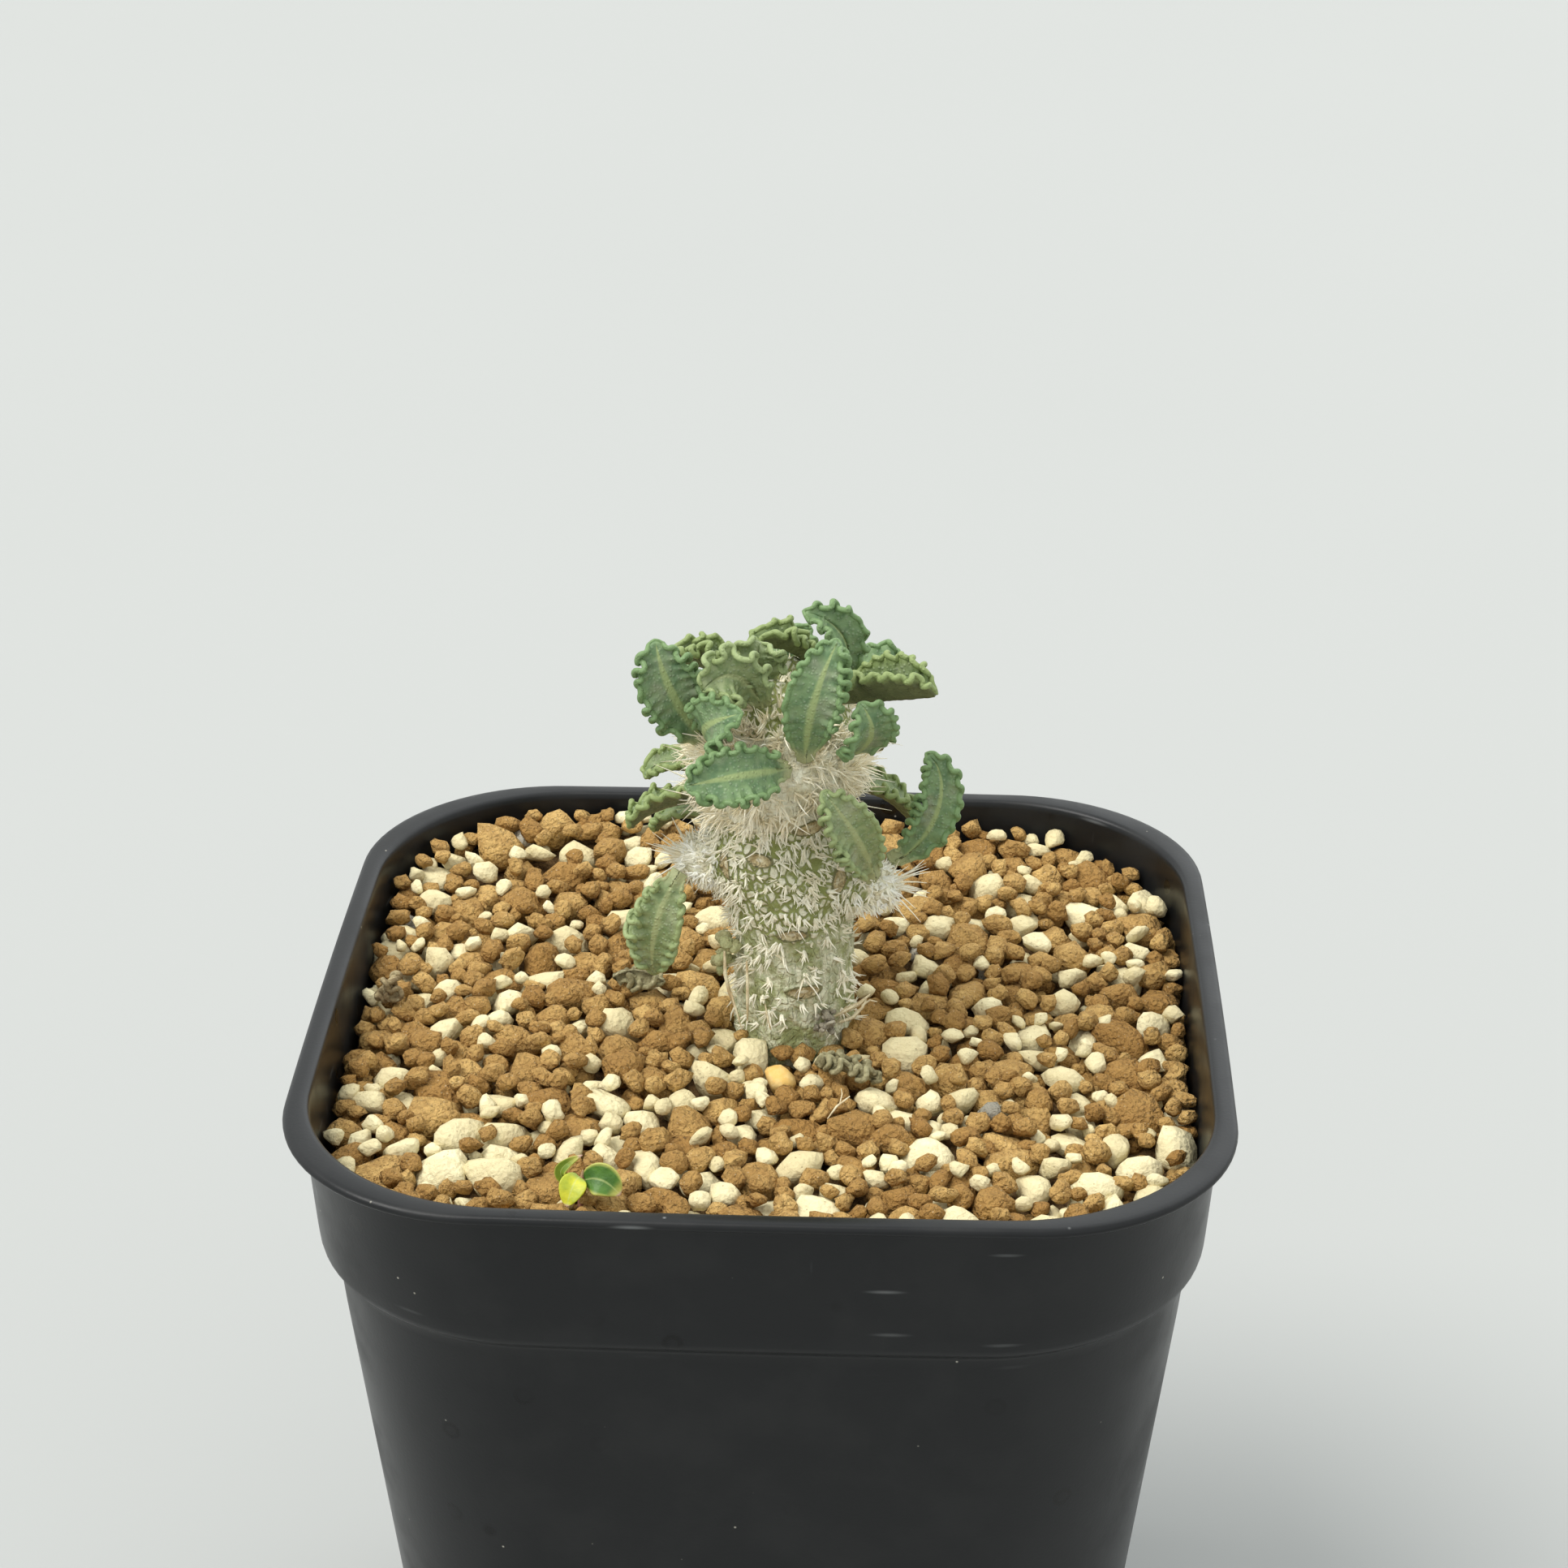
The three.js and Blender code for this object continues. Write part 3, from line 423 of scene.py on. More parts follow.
# Large cream pebbles, as middle x and y and radius, worked out from points read off the photograph
CREAM_LANDMARKS = [
    (-1.4, -2.6, 2.2), (-4.9, -5.8, 2.0), (-12.9, -10.7, 1.9), (13.5, -15.9, 2.2), (24.6, -3.7, 1.8),
    (-30.6, -7.9, 1.6), (-24.4, -16.2, 2.1), (-25.0, -20.8, 2.3), (-21.3, -21.5, 2.2), (3.1, -18.2, 2.0),
    (13.4, -8.8, 1.4), (16.0, -8.1, 1.5), (28.6, -14.1, 1.5), (26.7, -19.4, 1.8), (28.0, -22.7, 1.4),
    (16.3, -25.2, 1.8), (4.6, -24.3, 1.8), (23.4, -17.3, 1.3), (9.2, -26.6, 1.7), (32.0, -0.9, 1.6),
    (32.4, 4.6, 1.5), (18.2, 6.4, 1.6), (12.7, 12.8, 1.5), (18.4, 25.8, 1.9), (-13.8, 18.2, 1.7),
    (-22.9, 15.7, 1.4), (-13.1, 28.1, 1.4), (-22.4, 28.1, 1.4), (-31.0, 20.1, 1.5), (-29.4, 10.4, 1.5),
    (-22.7, 4.5, 1.5), (-27.4, 0.0, 1.5), (-32.2, -11.5, 1.4), (27.0, 22.2, 1.7), (11.4, 3.6, 2.0),
    (21.5, 19.7, 1.4), (31.5, 16.3, 1.4), (-12.4, -18.3, 1.5), (-15.4, -17.7, 1.3), (-7.4, -21.1, 1.3),
    (9.2, -19.9, 1.2), (10.2, -17.6, 1.1), (-2.8, -22.9, 1.1), (-28.8, -18.5, 1.4), (-26.8, 25.0, 1.3),
    (-6.5, 5.9, 0.9), (14.3, 19.2, 1.4), (7.2, 13.4, 1.2), (10.0, 19.0, 1.3), (25.6, 11.9, 1.3),
]
HONEY_PEBBLE = (0.9, -5.4, 1.45)


def mix_top(x, y):
    back = max(0, (y - MIX_BACK_START) / 30)
    bank = MIX_BACK_RISE * back * back * (1 - MIX_BACK_LEAN * x)
    return MIX_TOP + MIX_SLOPE_X * x + MIX_SLOPE_Y * y + bank


def wall_gap(x, y):
    """How far a place is inside the pot's inner wall."""
    over_x = abs(x) - (WALL_HALF - WALL_CORNER)
    over_y = abs(y) - (WALL_HALF - WALL_CORNER)
    outside = math.hypot(max(over_x, 0), max(over_y, 0))
    return WALL_CORNER - outside - min(max(over_x, over_y), 0)


BED_PROFILE = [
    (0.01, 0.005, 2.95), (26.0, 12.5, 2.95), (27.0, 13.2, 3.8), (33.4, 16.8, 61.2), (34.5, 17.2, 63.4),
]
BED_TOP_RINGS = 36


def bed_spot(turn, along):
    level = round(along * (len(BED_PROFILE) - 1 + BED_TOP_RINGS))
    if level < len(BED_PROFILE):
        half, corner, height = BED_PROFILE[level]
        spot = along_square(half, corner, turn)
        return spot.x, spot.y, height
    share = 1 - (level - len(BED_PROFILE)) / (BED_TOP_RINGS - 1)
    spot = along_square(34.85, 17.2, turn) * max(share, 0.0005)
    bumps = 0.6 * noise.fractal(Vector((spot.x, spot.y, 3.0)) * 0.55, 1.0, 2.0, 3)
    return spot.x, spot.y, mix_top(spot.x, spot.y) - BED_DROP + bumps


# The bed is fine brown grit, coloured darker than the grains as painted shade, so the gaps between them read
# dark.
bed_grit_and_shade_finish, tree, shader, place = material("fine_grit_and_painted_shade", 0.95, 0.2)
rough = crumbly(tree, place, 1400.0)
shade = blend(tree, rough[0], GRIT_BED_DARK_AND_SHADE, GRIT_BED_BROWN)
coat(tree, shader, shade, rough[1], 0.4)
bm = rolled_sheet(96, len(BED_PROFILE) - 1 + BED_TOP_RINGS, bed_spot)
piece("grit_bed", bm, bed_grit_and_shade_finish, ["growing_mix"])


class Pile:
    """Round stand-ins of the grains, which show where the next one comes to rest."""

    def __init__(self):
        self.middles = np.zeros((4000, 3))
        self.radii = np.zeros(4000)
        self.count = 0

    def rest(self, x, y, radius):
        """The height at which a grain dropped at x and y lies."""
        height = mix_top(x, y) - BED_DROP + radius * 0.6
        gap = self.middles[: self.count]
        flat = (gap[:, 0] - x) ** 2 + (gap[:, 1] - y) ** 2
        reach = (0.93 * (self.radii[: self.count] + radius)) ** 2
        near = flat < reach
        if near.any():
            height = max(height, (gap[near, 2] + np.sqrt(reach[near] - flat[near])).max())
        return height

    def add(self, x, y, z, radius):
        self.middles[self.count] = (x, y, z)
        self.radii[self.count] = radius
        self.count += 1


def drop(pile, draw, radius, tries, limit):
    """Drops a grain at the lowest of several places. None where it would stand above the limit."""
    best = None
    for _ in range(tries):
        x = draw.uniform(-35, 35)
        y = draw.uniform(-35, 35)
        from_stem = math.hypot(x - PLANT.x, y - PLANT.y)
        if wall_gap(x, y) < radius * 0.95 or from_stem < STEM_ROOM + radius * 0.8:
            continue
        z = pile.rest(x, y, radius)
        top = z + radius - mix_top(x, y)
        if top < limit and (best is None or top < best[3]):
            best = (x, y, z, top)
    if best:
        pile.add(*best[:3], radius)
    return best


def join(parts):
    """Several skins in one bmesh."""
    whole = bmesh.new()
    for part in parts:
        shape = mesh_from("part", part)
        whole.from_mesh(shape)
        bpy.data.meshes.remove(shape)
    return whole


# Each kind of grain: how far it is stretched, how deep its flats cut, how many, and how bumpy it is
GRAIN_FORMS = {
    "brown": dict(stretch=(1.22, 1.0, 0.84), flats=6, cut=(0.68, 0.95), bumps=0.31, turns=2.3),
    "cream": dict(stretch=(1.20, 1.0, 0.80), flats=9, cut=(0.58, 0.82), bumps=0.13, turns=1.1),
    "grey": dict(stretch=(1.25, 1.0, 0.80), flats=8, cut=(0.60, 0.86), bumps=0.16, turns=1.6),
}
LARGE_GRAIN = 2.2


def grain(draw, kind, middle, radius):
    """One grain: a ball with flats broken off it, stretched, turned and made uneven."""
    form = GRAIN_FORMS[kind]
    built = bmesh.new()
    tone_layer = built.verts.layers.float.new("tone")
    tone = draw.random()
    stretch = [size * draw.uniform(0.88, 1.12) for size in form["stretch"]]
    turn = Euler([draw.uniform(-0.5, 0.5), draw.uniform(-0.5, 0.5), draw.uniform(0, 6.28)]).to_matrix()
    flats = []
    for _ in range(form["flats"]):
        way = Vector([draw.gauss(0, 1) for _ in range(3)]).normalized()
        flats.append((way, draw.uniform(*form["cut"])))
    shift = Vector([draw.uniform(0, 50) for _ in range(3)])
    rounds = 3 if radius > LARGE_GRAIN else 2
    for vert in bmesh.ops.create_icosphere(built, subdivisions=rounds, radius=1.12)["verts"]:
        spot = vert.co.copy()
        for way, distance in flats:
            over = spot.dot(way) - distance
            if over > 0:
                spot -= way * over * 0.9
        spot *= 1 + form["bumps"] * noise.fractal(spot * form["turns"] + shift, 0.8, 2.2, 3)
        spot = turn @ Vector(a * b for a, b in zip(spot, stretch))
        vert.co = (middle + spot * radius) * MM
        vert[tone_layer] = tone
    return built


def grain_finish(name, dark, light, shadow, spot_shade, spot_share, turns, depth):
    """Dry stone: each grain has its own tone, with crumbs, pits and specks over it."""
    finish, tree, shader, place = material(name, 0.9, 0.2)
    own = painted(tree, "tone")["Fac"]
    rough = crumbly(tree, place, turns)
    shade = blend(tree, own, dark, light)
    patches = times(tree, rough[0], 0.6)
    shade = blend(tree, patches, shade, shadow)
    dots = flecks(tree, place, 3600.0, 0.42, spot_share)
    shade = blend(tree, times(tree, dots, 0.8), shade, spot_shade)
    glints = flecks(tree, place, 4300.0, 0.35, 0.12)
    glint = blend(tree, 0.45, shade, (0.85, 0.80, 0.62))
    shade = blend(tree, glints, shade, glint)
    coat(tree, shader, shade, rough[1], depth)
    return finish


brown_finish = grain_finish(
    "brown_crumbly_grit", (0.40, 0.22, 0.065), (0.69, 0.45, 0.165), (0.33, 0.18, 0.055), (0.13, 0.06, 0.018),
    0.30, 700.0, 0.75,
)
cream_finish = grain_finish(
    "cream_pebble", (0.65, 0.56, 0.32), (0.86, 0.78, 0.50), (0.66, 0.56, 0.33), (0.26, 0.19, 0.10),
    0.09, 650.0, 0.22,
)
grey_finish = grain_finish(
    "grey_stone", (0.26, 0.245, 0.20), (0.70, 0.66, 0.54), (0.34, 0.31, 0.25), (0.035, 0.033, 0.03),
    0.5, 900.0, 0.3,
)
honey_finish = grain_finish(
    "honey_pebble", (0.74, 0.46, 0.13), (0.86, 0.60, 0.22), (0.80, 0.62, 0.30), (0.40, 0.20, 0.05),
    0.05, 700.0, 0.06,
)

UNDER_GRAINS = 520
UNDER_LIMIT = -1.5
TOP_LIMIT = 0.5
MOST_GRAINS = 3400
BROWN_SHARE = 0.65
CREAM_SHARE = 0.315
SMALL_BROWN_SHARE = 0.76
# Grains of usual size are dropped until this many find no room, then small ones
USUAL_MISSES = 100
ALL_MISSES = 300

draw = random.Random(41)
pile = Pile()
kinds = {"brown": [], "cream": [], "grey": []}
for _ in range(UNDER_GRAINS):
    radius = draw.uniform(1.0, 1.9)
    spot = drop(pile, draw, radius, 12, UNDER_LIMIT)
    if spot:
        kinds["brown"].append((Vector(spot[:3]), radius))


def bedded(x, y, radius):
    """A pebble pressed into the top of the mix."""
    z = max(pile.rest(x, y, radius) * 0.35 + (mix_top(x, y) - radius + 0.45) * 0.65, mix_top(x, y) - radius)
    pile.add(x, y, z, radius)
    return Vector((x, y, z)), radius


kinds["cream"] += [bedded(x, y, 0.95 * radius) for x, y, radius in CREAM_LANDMARKS]
honey = bedded(*HONEY_PEBBLE)
misses = 0
while misses < ALL_MISSES and pile.count < MOST_GRAINS:
    lot = draw.random()
    kind = "brown" if lot < BROWN_SHARE else "cream" if lot < BROWN_SHARE + CREAM_SHARE else "grey"
    radii = {"brown": draw.triangular(1.15, 2.3, 1.5), "cream": draw.triangular(1.0, 2.1, 1.35)}
    radius = radii.get(kind, draw.uniform(0.7, 1.3))
    if misses > USUAL_MISSES:
        kind = "brown" if lot < SMALL_BROWN_SHARE else "cream"
        radius = draw.uniform(0.6, 1.0)
    spot = drop(pile, draw, radius, 30, TOP_LIMIT)
    if spot:
        kinds[kind].append((Vector(spot[:3]), radius))
    else:
        misses += 1

for kind, finish in (("brown", brown_finish), ("cream", cream_finish), ("grey", grey_finish)):
    grains = (grain(draw, kind, middle, radius) for middle, radius in kinds[kind])
    piece("grit_" + kind, join(grains), finish, ())
piece("grit_honey", grain(draw, "cream", *honey), honey_finish, ())


# Stem: a stout pale green column, swollen at the crown, with blunt side knobs. Its skin is waxy and
# streaked at the foot and broken into white flakes higher up, and old leaf scars are tan ovals with rims.
STEM_LEVELS = [
    (-6, 0, 3.4), (-3, 0, 4.9), (0, 0, 5.1), (2, 0.1, 5.05), (4.5, 0, 4.9), (7, -0.1, 4.85),
    (9.5, -0.2, 4.8), (11.5, -0.4, 5), (13.5, -0.7, 5.4), (15.5, -1, 5.6), (17.5, -1.5, 5.5),
    (19.5, -1.9, 5.3), (21.3, -1.8, 5.9), (23, -1.6, 6.5), (25, -1.5, 6.7), (27, -1.4, 6.5),
    (29, -1.2, 5.8), (30.7, -1.1, 4.8), (32, -1, 3.5), (32.6, -1, 2.4), (31.6, -1, 1.2), (31.0, -1, 0.02),
]
# Old leaf scars: height, bearing, how far they stand out, half width, half height and tilt in degrees
SCARS = [
    (5.6, 281, 0.35, 1.3, 0.5, 4), (10.9, 272, 0.30, 1.15, 0.45, 0), (15.3, 320, 0.55, 0.75, 1.0, -14),
    (18.1, 258, 0.50, 0.95, 0.5, -12), (21.0, 301, 0.50, 1.1, 0.7, 6), (16.8, 222, 0.45, 0.45, 1.2, 6),
    (8.8, 10, 0.4, 1.3, 0.6, 0), (5, 150, 0.35, 1.4, 0.6, 8), (10, 110, 0.45, 1.3, 0.6, -6),
    (17, 80, 0.6, 1.2, 0.7, 0), (13, 45, 0.5, 1.2, 0.65, 10), (19, 130, 0.5, 1.2, 0.7, 0),
]
ARMS = [
    ((-3.5, -0.5, 15.2), (-9.6, -1, 16), 2.5, 1.7),
    ((2.5, -1, 13.4), (8.6, -1.8, 14.2), 2.3, 1.7),
    ((-1, 2, 14), (-3, 8.6, 15.4), 2.3, 1.5),
]
STEM_VOXEL = 0.17
WAX_ENDS = (80.5, 82.5)
WAX_PALE = (0.74, 0.73, 0.54)
WAX_GREY = (0.47, 0.49, 0.31)
FLAKE_WHITE = (0.90, 0.88, 0.71)
SKIN_GREEN = (0.36, 0.39, 0.14)
SKIN_DARK = (0.19, 0.22, 0.07)
SCAR_TAN = (0.72, 0.62, 0.38)
SCAR_BROWN = (0.46, 0.35, 0.17)
SCAR_EDGE = (0.22, 0.21, 0.10)


def smooth_level(levels, share):
    """A smooth run through rows of numbers, at a share of 0 to 1 of the whole."""
    place = share * (len(levels) - 1)
    start = min(int(place), len(levels) - 2)
    t = place - start
    rows = [levels[max(0, min(len(levels) - 1, start + k))] for k in (-1, 0, 1, 2)]
    out = []
    for a, b, c, d in zip(*rows):
        bend = 2 * a - 5 * b + 4 * c - d
        twist = 3 * b - a - 3 * c + d
        out.append(0.5 * (2 * b + (c - a) * t + bend * t * t + twist * t**3))
    return out


def stem_spot(turn, along):
    height, shift, radius = smooth_level(STEM_LEVELS, along)
    bearing = turn * 2 * math.pi
    swell = 0
    for z, degrees, lift, *_ in SCARS:
        swing = math.remainder(bearing - math.radians(degrees), 2 * math.pi)
        across = swing * radius / 1.7
        up = (height - z) / 1.5
        swell += lift * math.exp(-(across * across + up * up))
    knobs = (0.22 if 20 < height < 31 else 0.08) * min(1, radius / 4)
    reach = max(radius, 0.02) + (swell + knobs * math.sin(7 * bearing + height * 1.9)) * min(1, radius / 3)
    return PLANT.x + shift + reach * math.cos(bearing), PLANT.y + reach * math.sin(bearing), PLANT.z + height


def knob_spot(root, tip, root_radius, tip_radius):
    """The skin of a blunt side knob, as a function of turn and share of its length."""
    axis = Vector(tip) - Vector(root)
    side = Vector((0, 0, 1)).cross(axis).normalized()
    top = axis.normalized().cross(side)

    def spot(turn, along):
        angle = turn * 2 * math.pi
        wide = root_radius + (tip_radius - root_radius) * along
        wide *= math.sqrt(max(0.0, 1 - max(0.0, (along - 0.72) / 0.28) ** 2))
        centre = PLANT + Vector(root) + axis * along
        return centre + (side * math.cos(angle) + top * math.sin(angle)) * max(wide, 0.003)

    return spot


knobs = [rolled_sheet(24, 18, knob_spot(*arm)) for arm in ARMS]
stem = placed("stem_rough", mesh_from("stem_rough", join([rolled_sheet(96, 120, stem_spot), *knobs])))
remesh = stem.modifiers.new("one_skin", "REMESH")
remesh.mode = "VOXEL"
remesh.voxel_size = STEM_VOXEL * MM
bpy.context.view_layer.update()
bm = shape_of(stem)
for _ in range(4):
    bmesh.ops.smooth_vert(bm, verts=bm.verts, factor=0.5, use_axis_x=True, use_axis_y=True, use_axis_z=True)
bm.normal_update()

scars = []
for z, degrees, lift, half_wide, half_tall, tilt in SCARS:
    level = [row for row in STEM_LEVELS[:20] if row[0] <= z][-1]
    bearing = math.radians(degrees)
    outward = Vector((math.cos(bearing), math.sin(bearing), 0))
    middle = PLANT + Vector((level[1], 0, z)) + outward * (level[2] + lift)
    sideways = Vector((-outward.y, outward.x, 0))
    lean = Matrix.Rotation(math.radians(tilt), 3, outward)
    scars.append((middle, outward, lean @ sideways / half_wide, lean @ Vector((0, 0, 1)) / half_tall))

# The scar mark is 1 at the rim of a scar, more inside it and less outside
scar_layer = bm.verts.layers.float.new("scar")
felt_layer = bm.verts.layers.float.new("felt")
woolly_layer = bm.verts.layers.float.new("woolly")
for vert in bm.verts:
    spot = vert.co / MM
    mark = 0.0
    for middle, outward, across, up in scars:
        gap = spot - middle
        if gap.length < 2.6 and vert.normal.dot(outward) > 0.15:
            mark = max(mark, 2 - math.hypot(gap.dot(across), gap.dot(up)))
    vert[scar_layer] = mark
    waves = noise.fractal(spot * 0.42, 0.9, 2.0, 4)
    flakes = noise.fractal(spot * 1.7 + Vector((9, 3, 1)), 0.8, 2.1, 3)
    vert[felt_layer] = waves * 0.7 + flakes * 0.5
    to_knob = min((spot - PLANT - Vector(tip)).length for _, tip, *_ in ARMS)
    in_crown = 0.8 if 20.5 < spot.z - PLANT.z < 29 else 0.0
    vert[woolly_layer] = max(in_crown, min(1.0, max(0.0, (3.9 - to_knob) / 1.6))) + 0.3 * flakes
    lift = -0.16 if mark > 1.15 else 0.14 if mark > 0.75 else 0.13 * flakes + 0.20 * waves
    vert.co += vert.normal * lift * MM
bm.normal_update()
skin_spots = [(face.calc_center_median() / MM, face.normal.copy()) for face in bm.faces]

stem_finish, tree, shader, place = material("flaky_stem_skin", 0.8, 0.25)
felt = painted(tree, "felt")["Fac"]
scar = painted(tree, "scar")["Fac"]
woolly = painted(tree, "woolly")["Fac"]
rough = crumbly(tree, place, 1500.0)
upright = stretched(tree, place, (1.0, 1.0, 0.22))
streaks = ramp(tree, cloud(tree, upright, 1.9, 4.0, 0.65), 0.40, 0.62)
wax = blend(tree, streaks, WAX_PALE, WAX_GREY)
bare = ramp(tree, cloud(tree, place, 0.36, 3.0), 0.42, 0.60)
green = blend(tree, cloud(tree, place, 0.9), SKIN_GREEN, SKIN_DARK)
foot = blend(tree, times(tree, bare, 0.8), wax, green)
warped = stretched(tree, place, (1.0, 1.0, 0.72))
cells = put(tree, "TexVoronoi", {"Vector": warped, "Scale": 1500.0}, feature="DISTANCE_TO_EDGE").outputs[0]
flaky = times(tree, ramp(tree, cells, 0.06, 0.20), ramp(tree, felt, -0.5, 0.0))
upper = blend(tree, flaky, green, blend(tree, rough[0], FLAKE_WHITE, WAX_PALE))
height = put(tree, "SeparateXYZ", {0: place}).outputs[2]
wavy = grade(tree, height, "ADD", times(tree, cloud(tree, place, 0.25, 1.0), 0.004))
shade = blend(tree, ramp(tree, wavy, WAX_ENDS[0] * MM, WAX_ENDS[1] * MM), foot, upper)
wool = blend(tree, rough[0], FLAKE_WHITE, (0.74, 0.68, 0.48))
shade = blend(tree, ramp(tree, woolly, 0.3, 0.7), shade, wool)
edge_in = ramp(tree, scar, 0.70, 0.86)
shade = blend(tree, edge_in, shade, SCAR_EDGE)
tan = blend(tree, rough[0], SCAR_TAN, SCAR_BROWN)
shade = blend(tree, ramp(tree, scar, 0.98, 1.1), shade, tan)
pale_middle = times(tree, ramp(tree, scar, 1.55, 1.8), 0.5)
shade = blend(tree, pale_middle, shade, FLAKE_WHITE)
coat(tree, shader, shade, grade(tree, rough[1], "ADD", flaky), 0.14)
piece("stem_column", bm, stem_finish, ["stem"])


# Felt, bristles and spines: dry white hairs of the plant. Flat ones grow in tufts, sparse on the foot,
# thick on the knobs and in a shaggy ring under the crown, and a few long pale spines stand far out.
def strands(name, lines, finish):
    """Thin tapering hairs, each a line of (place, radius) in mm, as one mesh."""
    data = bpy.data.curves.new(name, "CURVE")
    data.dimensions = "3D"
    data.bevel_depth = 1.0
    data.bevel_resolution = 0
    data.use_fill_caps = True
    for line in lines:
        spline = data.splines.new("POLY")
        spline.points.add(len(line) - 1)
        for point, (spot, radius) in zip(spline.points, line):
            point.co = (*(spot * MM), 1.0)
            point.radius = radius * MM
    holder = placed(name + "_line", data)
    bpy.context.view_layer.update()
    built = shape_of(holder)
    bmesh.ops.recalc_face_normals(built, faces=built.faces)
    return piece(name, built, finish, ())


def any_way(draw):
    return Vector([draw.uniform(-1, 1) for _ in range(3)])


def hair(draw, root, way, length, radius, sag, steps=2):
    """One hair that leaves the skin along a way, curls a little and ends in a point."""
    curl = any_way(draw) * sag
    line = []
    spot = root - way * 0.2
    for step in range(steps + 1):
        share = step / steps
        line.append((spot.copy(), radius * (1.0 - 0.88 * share)))
        spot += (way + curl * share).normalized() * (length / steps)
    return line


def tuft(draw, root, way, count, length, radius, spread):
    """A bunch of flat hairs that fan out from one spot of the skin."""
    bunch = []
    for _ in range(count):
        drift = any_way(draw)
        start = root + drift * 0.16
        own_way = (way + drift * spread).normalized()
        own_length = length * draw.uniform(0.6, 1.15)
        own_radius = radius * draw.uniform(0.7, 1.2)
        bunch.append(hair(draw, start, own_way, own_length, own_radius, 0.7))
    return bunch


def hair_finish(name, light, warm, dark):
    finish, tree, shader, place = material(name, 0.6, 0.3)
    clump = ramp(tree, cloud(tree, place, 0.7, 2.0), 0.35, 0.65)
    strand = ramp(tree, cloud(tree, place, 5.0, 1.0), 0.52, 0.76)
    shade = blend(tree, clump, light, warm)
    shade = blend(tree, times(tree, strand, 0.5), shade, dark)
    coat(tree, shader, shade, cloud(tree, place, 9.0, 1.0), 0.02)
    return finish


felt_finish = hair_finish("white_felt", (0.98, 0.95, 0.81), (0.94, 0.89, 0.71), (0.82, 0.74, 0.52))
knob_finish = hair_finish("knob_wool", (0.99, 0.985, 0.93), (0.97, 0.95, 0.84), (0.90, 0.86, 0.70))
bristle_finish = hair_finish("cream_bristle", (0.985, 0.945, 0.79), (0.95, 0.87, 0.66), (0.82, 0.68, 0.42))
spine_finish = hair_finish("pale_spine", (0.96, 0.93, 0.82), (0.90, 0.83, 0.64), (0.74, 0.62, 0.40))


def near_scar(spot, reach):
    return any((spot - middle).length < reach for middle, *_ in scars)


FELT_TUFTS = 860
CROWN_TUFTS = 620
KNOB_TUFTS = 95
CROWN_SPINES = 100
KNOB_SPINES = 20
GOLDEN_TURN = 2.39996
draw = random.Random(7)
lines = []
grown = 0
while grown < FELT_TUFTS:
    spot, outward = draw.choice(skin_spots)
    height = spot.z - PLANT.z
    if height < 1.0 or height > 21 or near_scar(spot, 1.2):
        continue
    patch = noise.noise(spot * 0.5)
    growth = 0.3 + patch * 0.9 if height < 10.5 else 0.75 + patch * 0.8
    if draw.random() > growth:
        continue
    lean = Vector((draw.uniform(-0.6, 0.6), 0, draw.uniform(-1.0, 0.35)))
    way = (outward * draw.uniform(0.3, 0.75) + lean * 0.8).normalized()
    size = draw.uniform(0.8, 1.45)
    lines += tuft(draw, spot, way, 4, size, 0.14, 0.42)
    grown += 1
strands("stem_felt", lines, felt_finish)

lines = []
crown = [row for row in skin_spots if 20.6 < row[0].z - PLANT.z < 31.5 and not near_scar(row[0], 1.9)]
for _ in range(CROWN_TUFTS):
    spot, outward = draw.choice(crown)
    high = min(1, (spot.z - PLANT.z - 20) / 8.5)
    lean = Vector((0, 0, draw.uniform(-1.1, 0.3) + 0.9 * high))
    way = (outward + lean).normalized()
    lines += tuft(draw, spot, way, 5, draw.uniform(1.3, 2.4), 0.15, 0.36)
strands("crown_bristles", lines, bristle_finish)

lines = []
for root, tip, root_radius, tip_radius in ARMS:
    axis = (Vector(tip) - Vector(root)).normalized()
    end = PLANT + Vector(tip)
    tufted = [(spot, out) for spot, out in skin_spots if (spot - end).length < tip_radius + 2.4]
    for _ in range(KNOB_TUFTS):
        spot, outward = draw.choice(tufted)
        way = (outward + axis * 0.35 + Vector((0, 0, draw.uniform(-0.5, 0.3)))).normalized()
        lines += tuft(draw, spot, way, 5, draw.uniform(0.6, 1.15), 0.2, 0.5)
strands("knob_tufts", lines, knob_finish)

lines = []
for index in range(CROWN_SPINES):
    bearing = index * GOLDEN_TURN
    height = 20.0 + 9.5 * ((index * 7) % CROWN_SPINES) / CROWN_SPINES
    outward = Vector((math.cos(bearing), math.sin(bearing), 0))
    spot, _ = min(crown, key=lambda row: (row[0] - PLANT - outward * 6.3 - Vector((-1.5, 0, height))).length)
    way = (outward + Vector((0, 0, draw.uniform(-0.35, 0.7)))).normalized()
    lines.append(hair(draw, spot, way, draw.uniform(2.4, 4.6), draw.uniform(0.09, 0.14), 0.3, 5))
for root, tip, root_radius, tip_radius in ARMS:
    axis = (Vector(tip) - Vector(root)).normalized()
    for _ in range(KNOB_SPINES):
        drift = any_way(draw)
        way = (axis + drift * 0.75).normalized()
        start = PLANT + Vector(tip) - axis * 1.2 + way * 0.6
        lines.append(hair(draw, start, way, draw.uniform(2.2, 4.0), draw.uniform(0.14, 0.19), 0.35, 4))
for middle, outward, *_ in scars[:5]:
    for _ in range(4):
        way = (outward + Vector([draw.uniform(-0.9, 0.9) for _ in range(3)])).normalized()
        start = middle + Vector((0, 0, 1.1)) - outward * 0.3
        lines.append(hair(draw, start, way, draw.uniform(1.4, 2.8), 0.13, 0.5, 4))
strands("long_spines", lines, spine_finish)


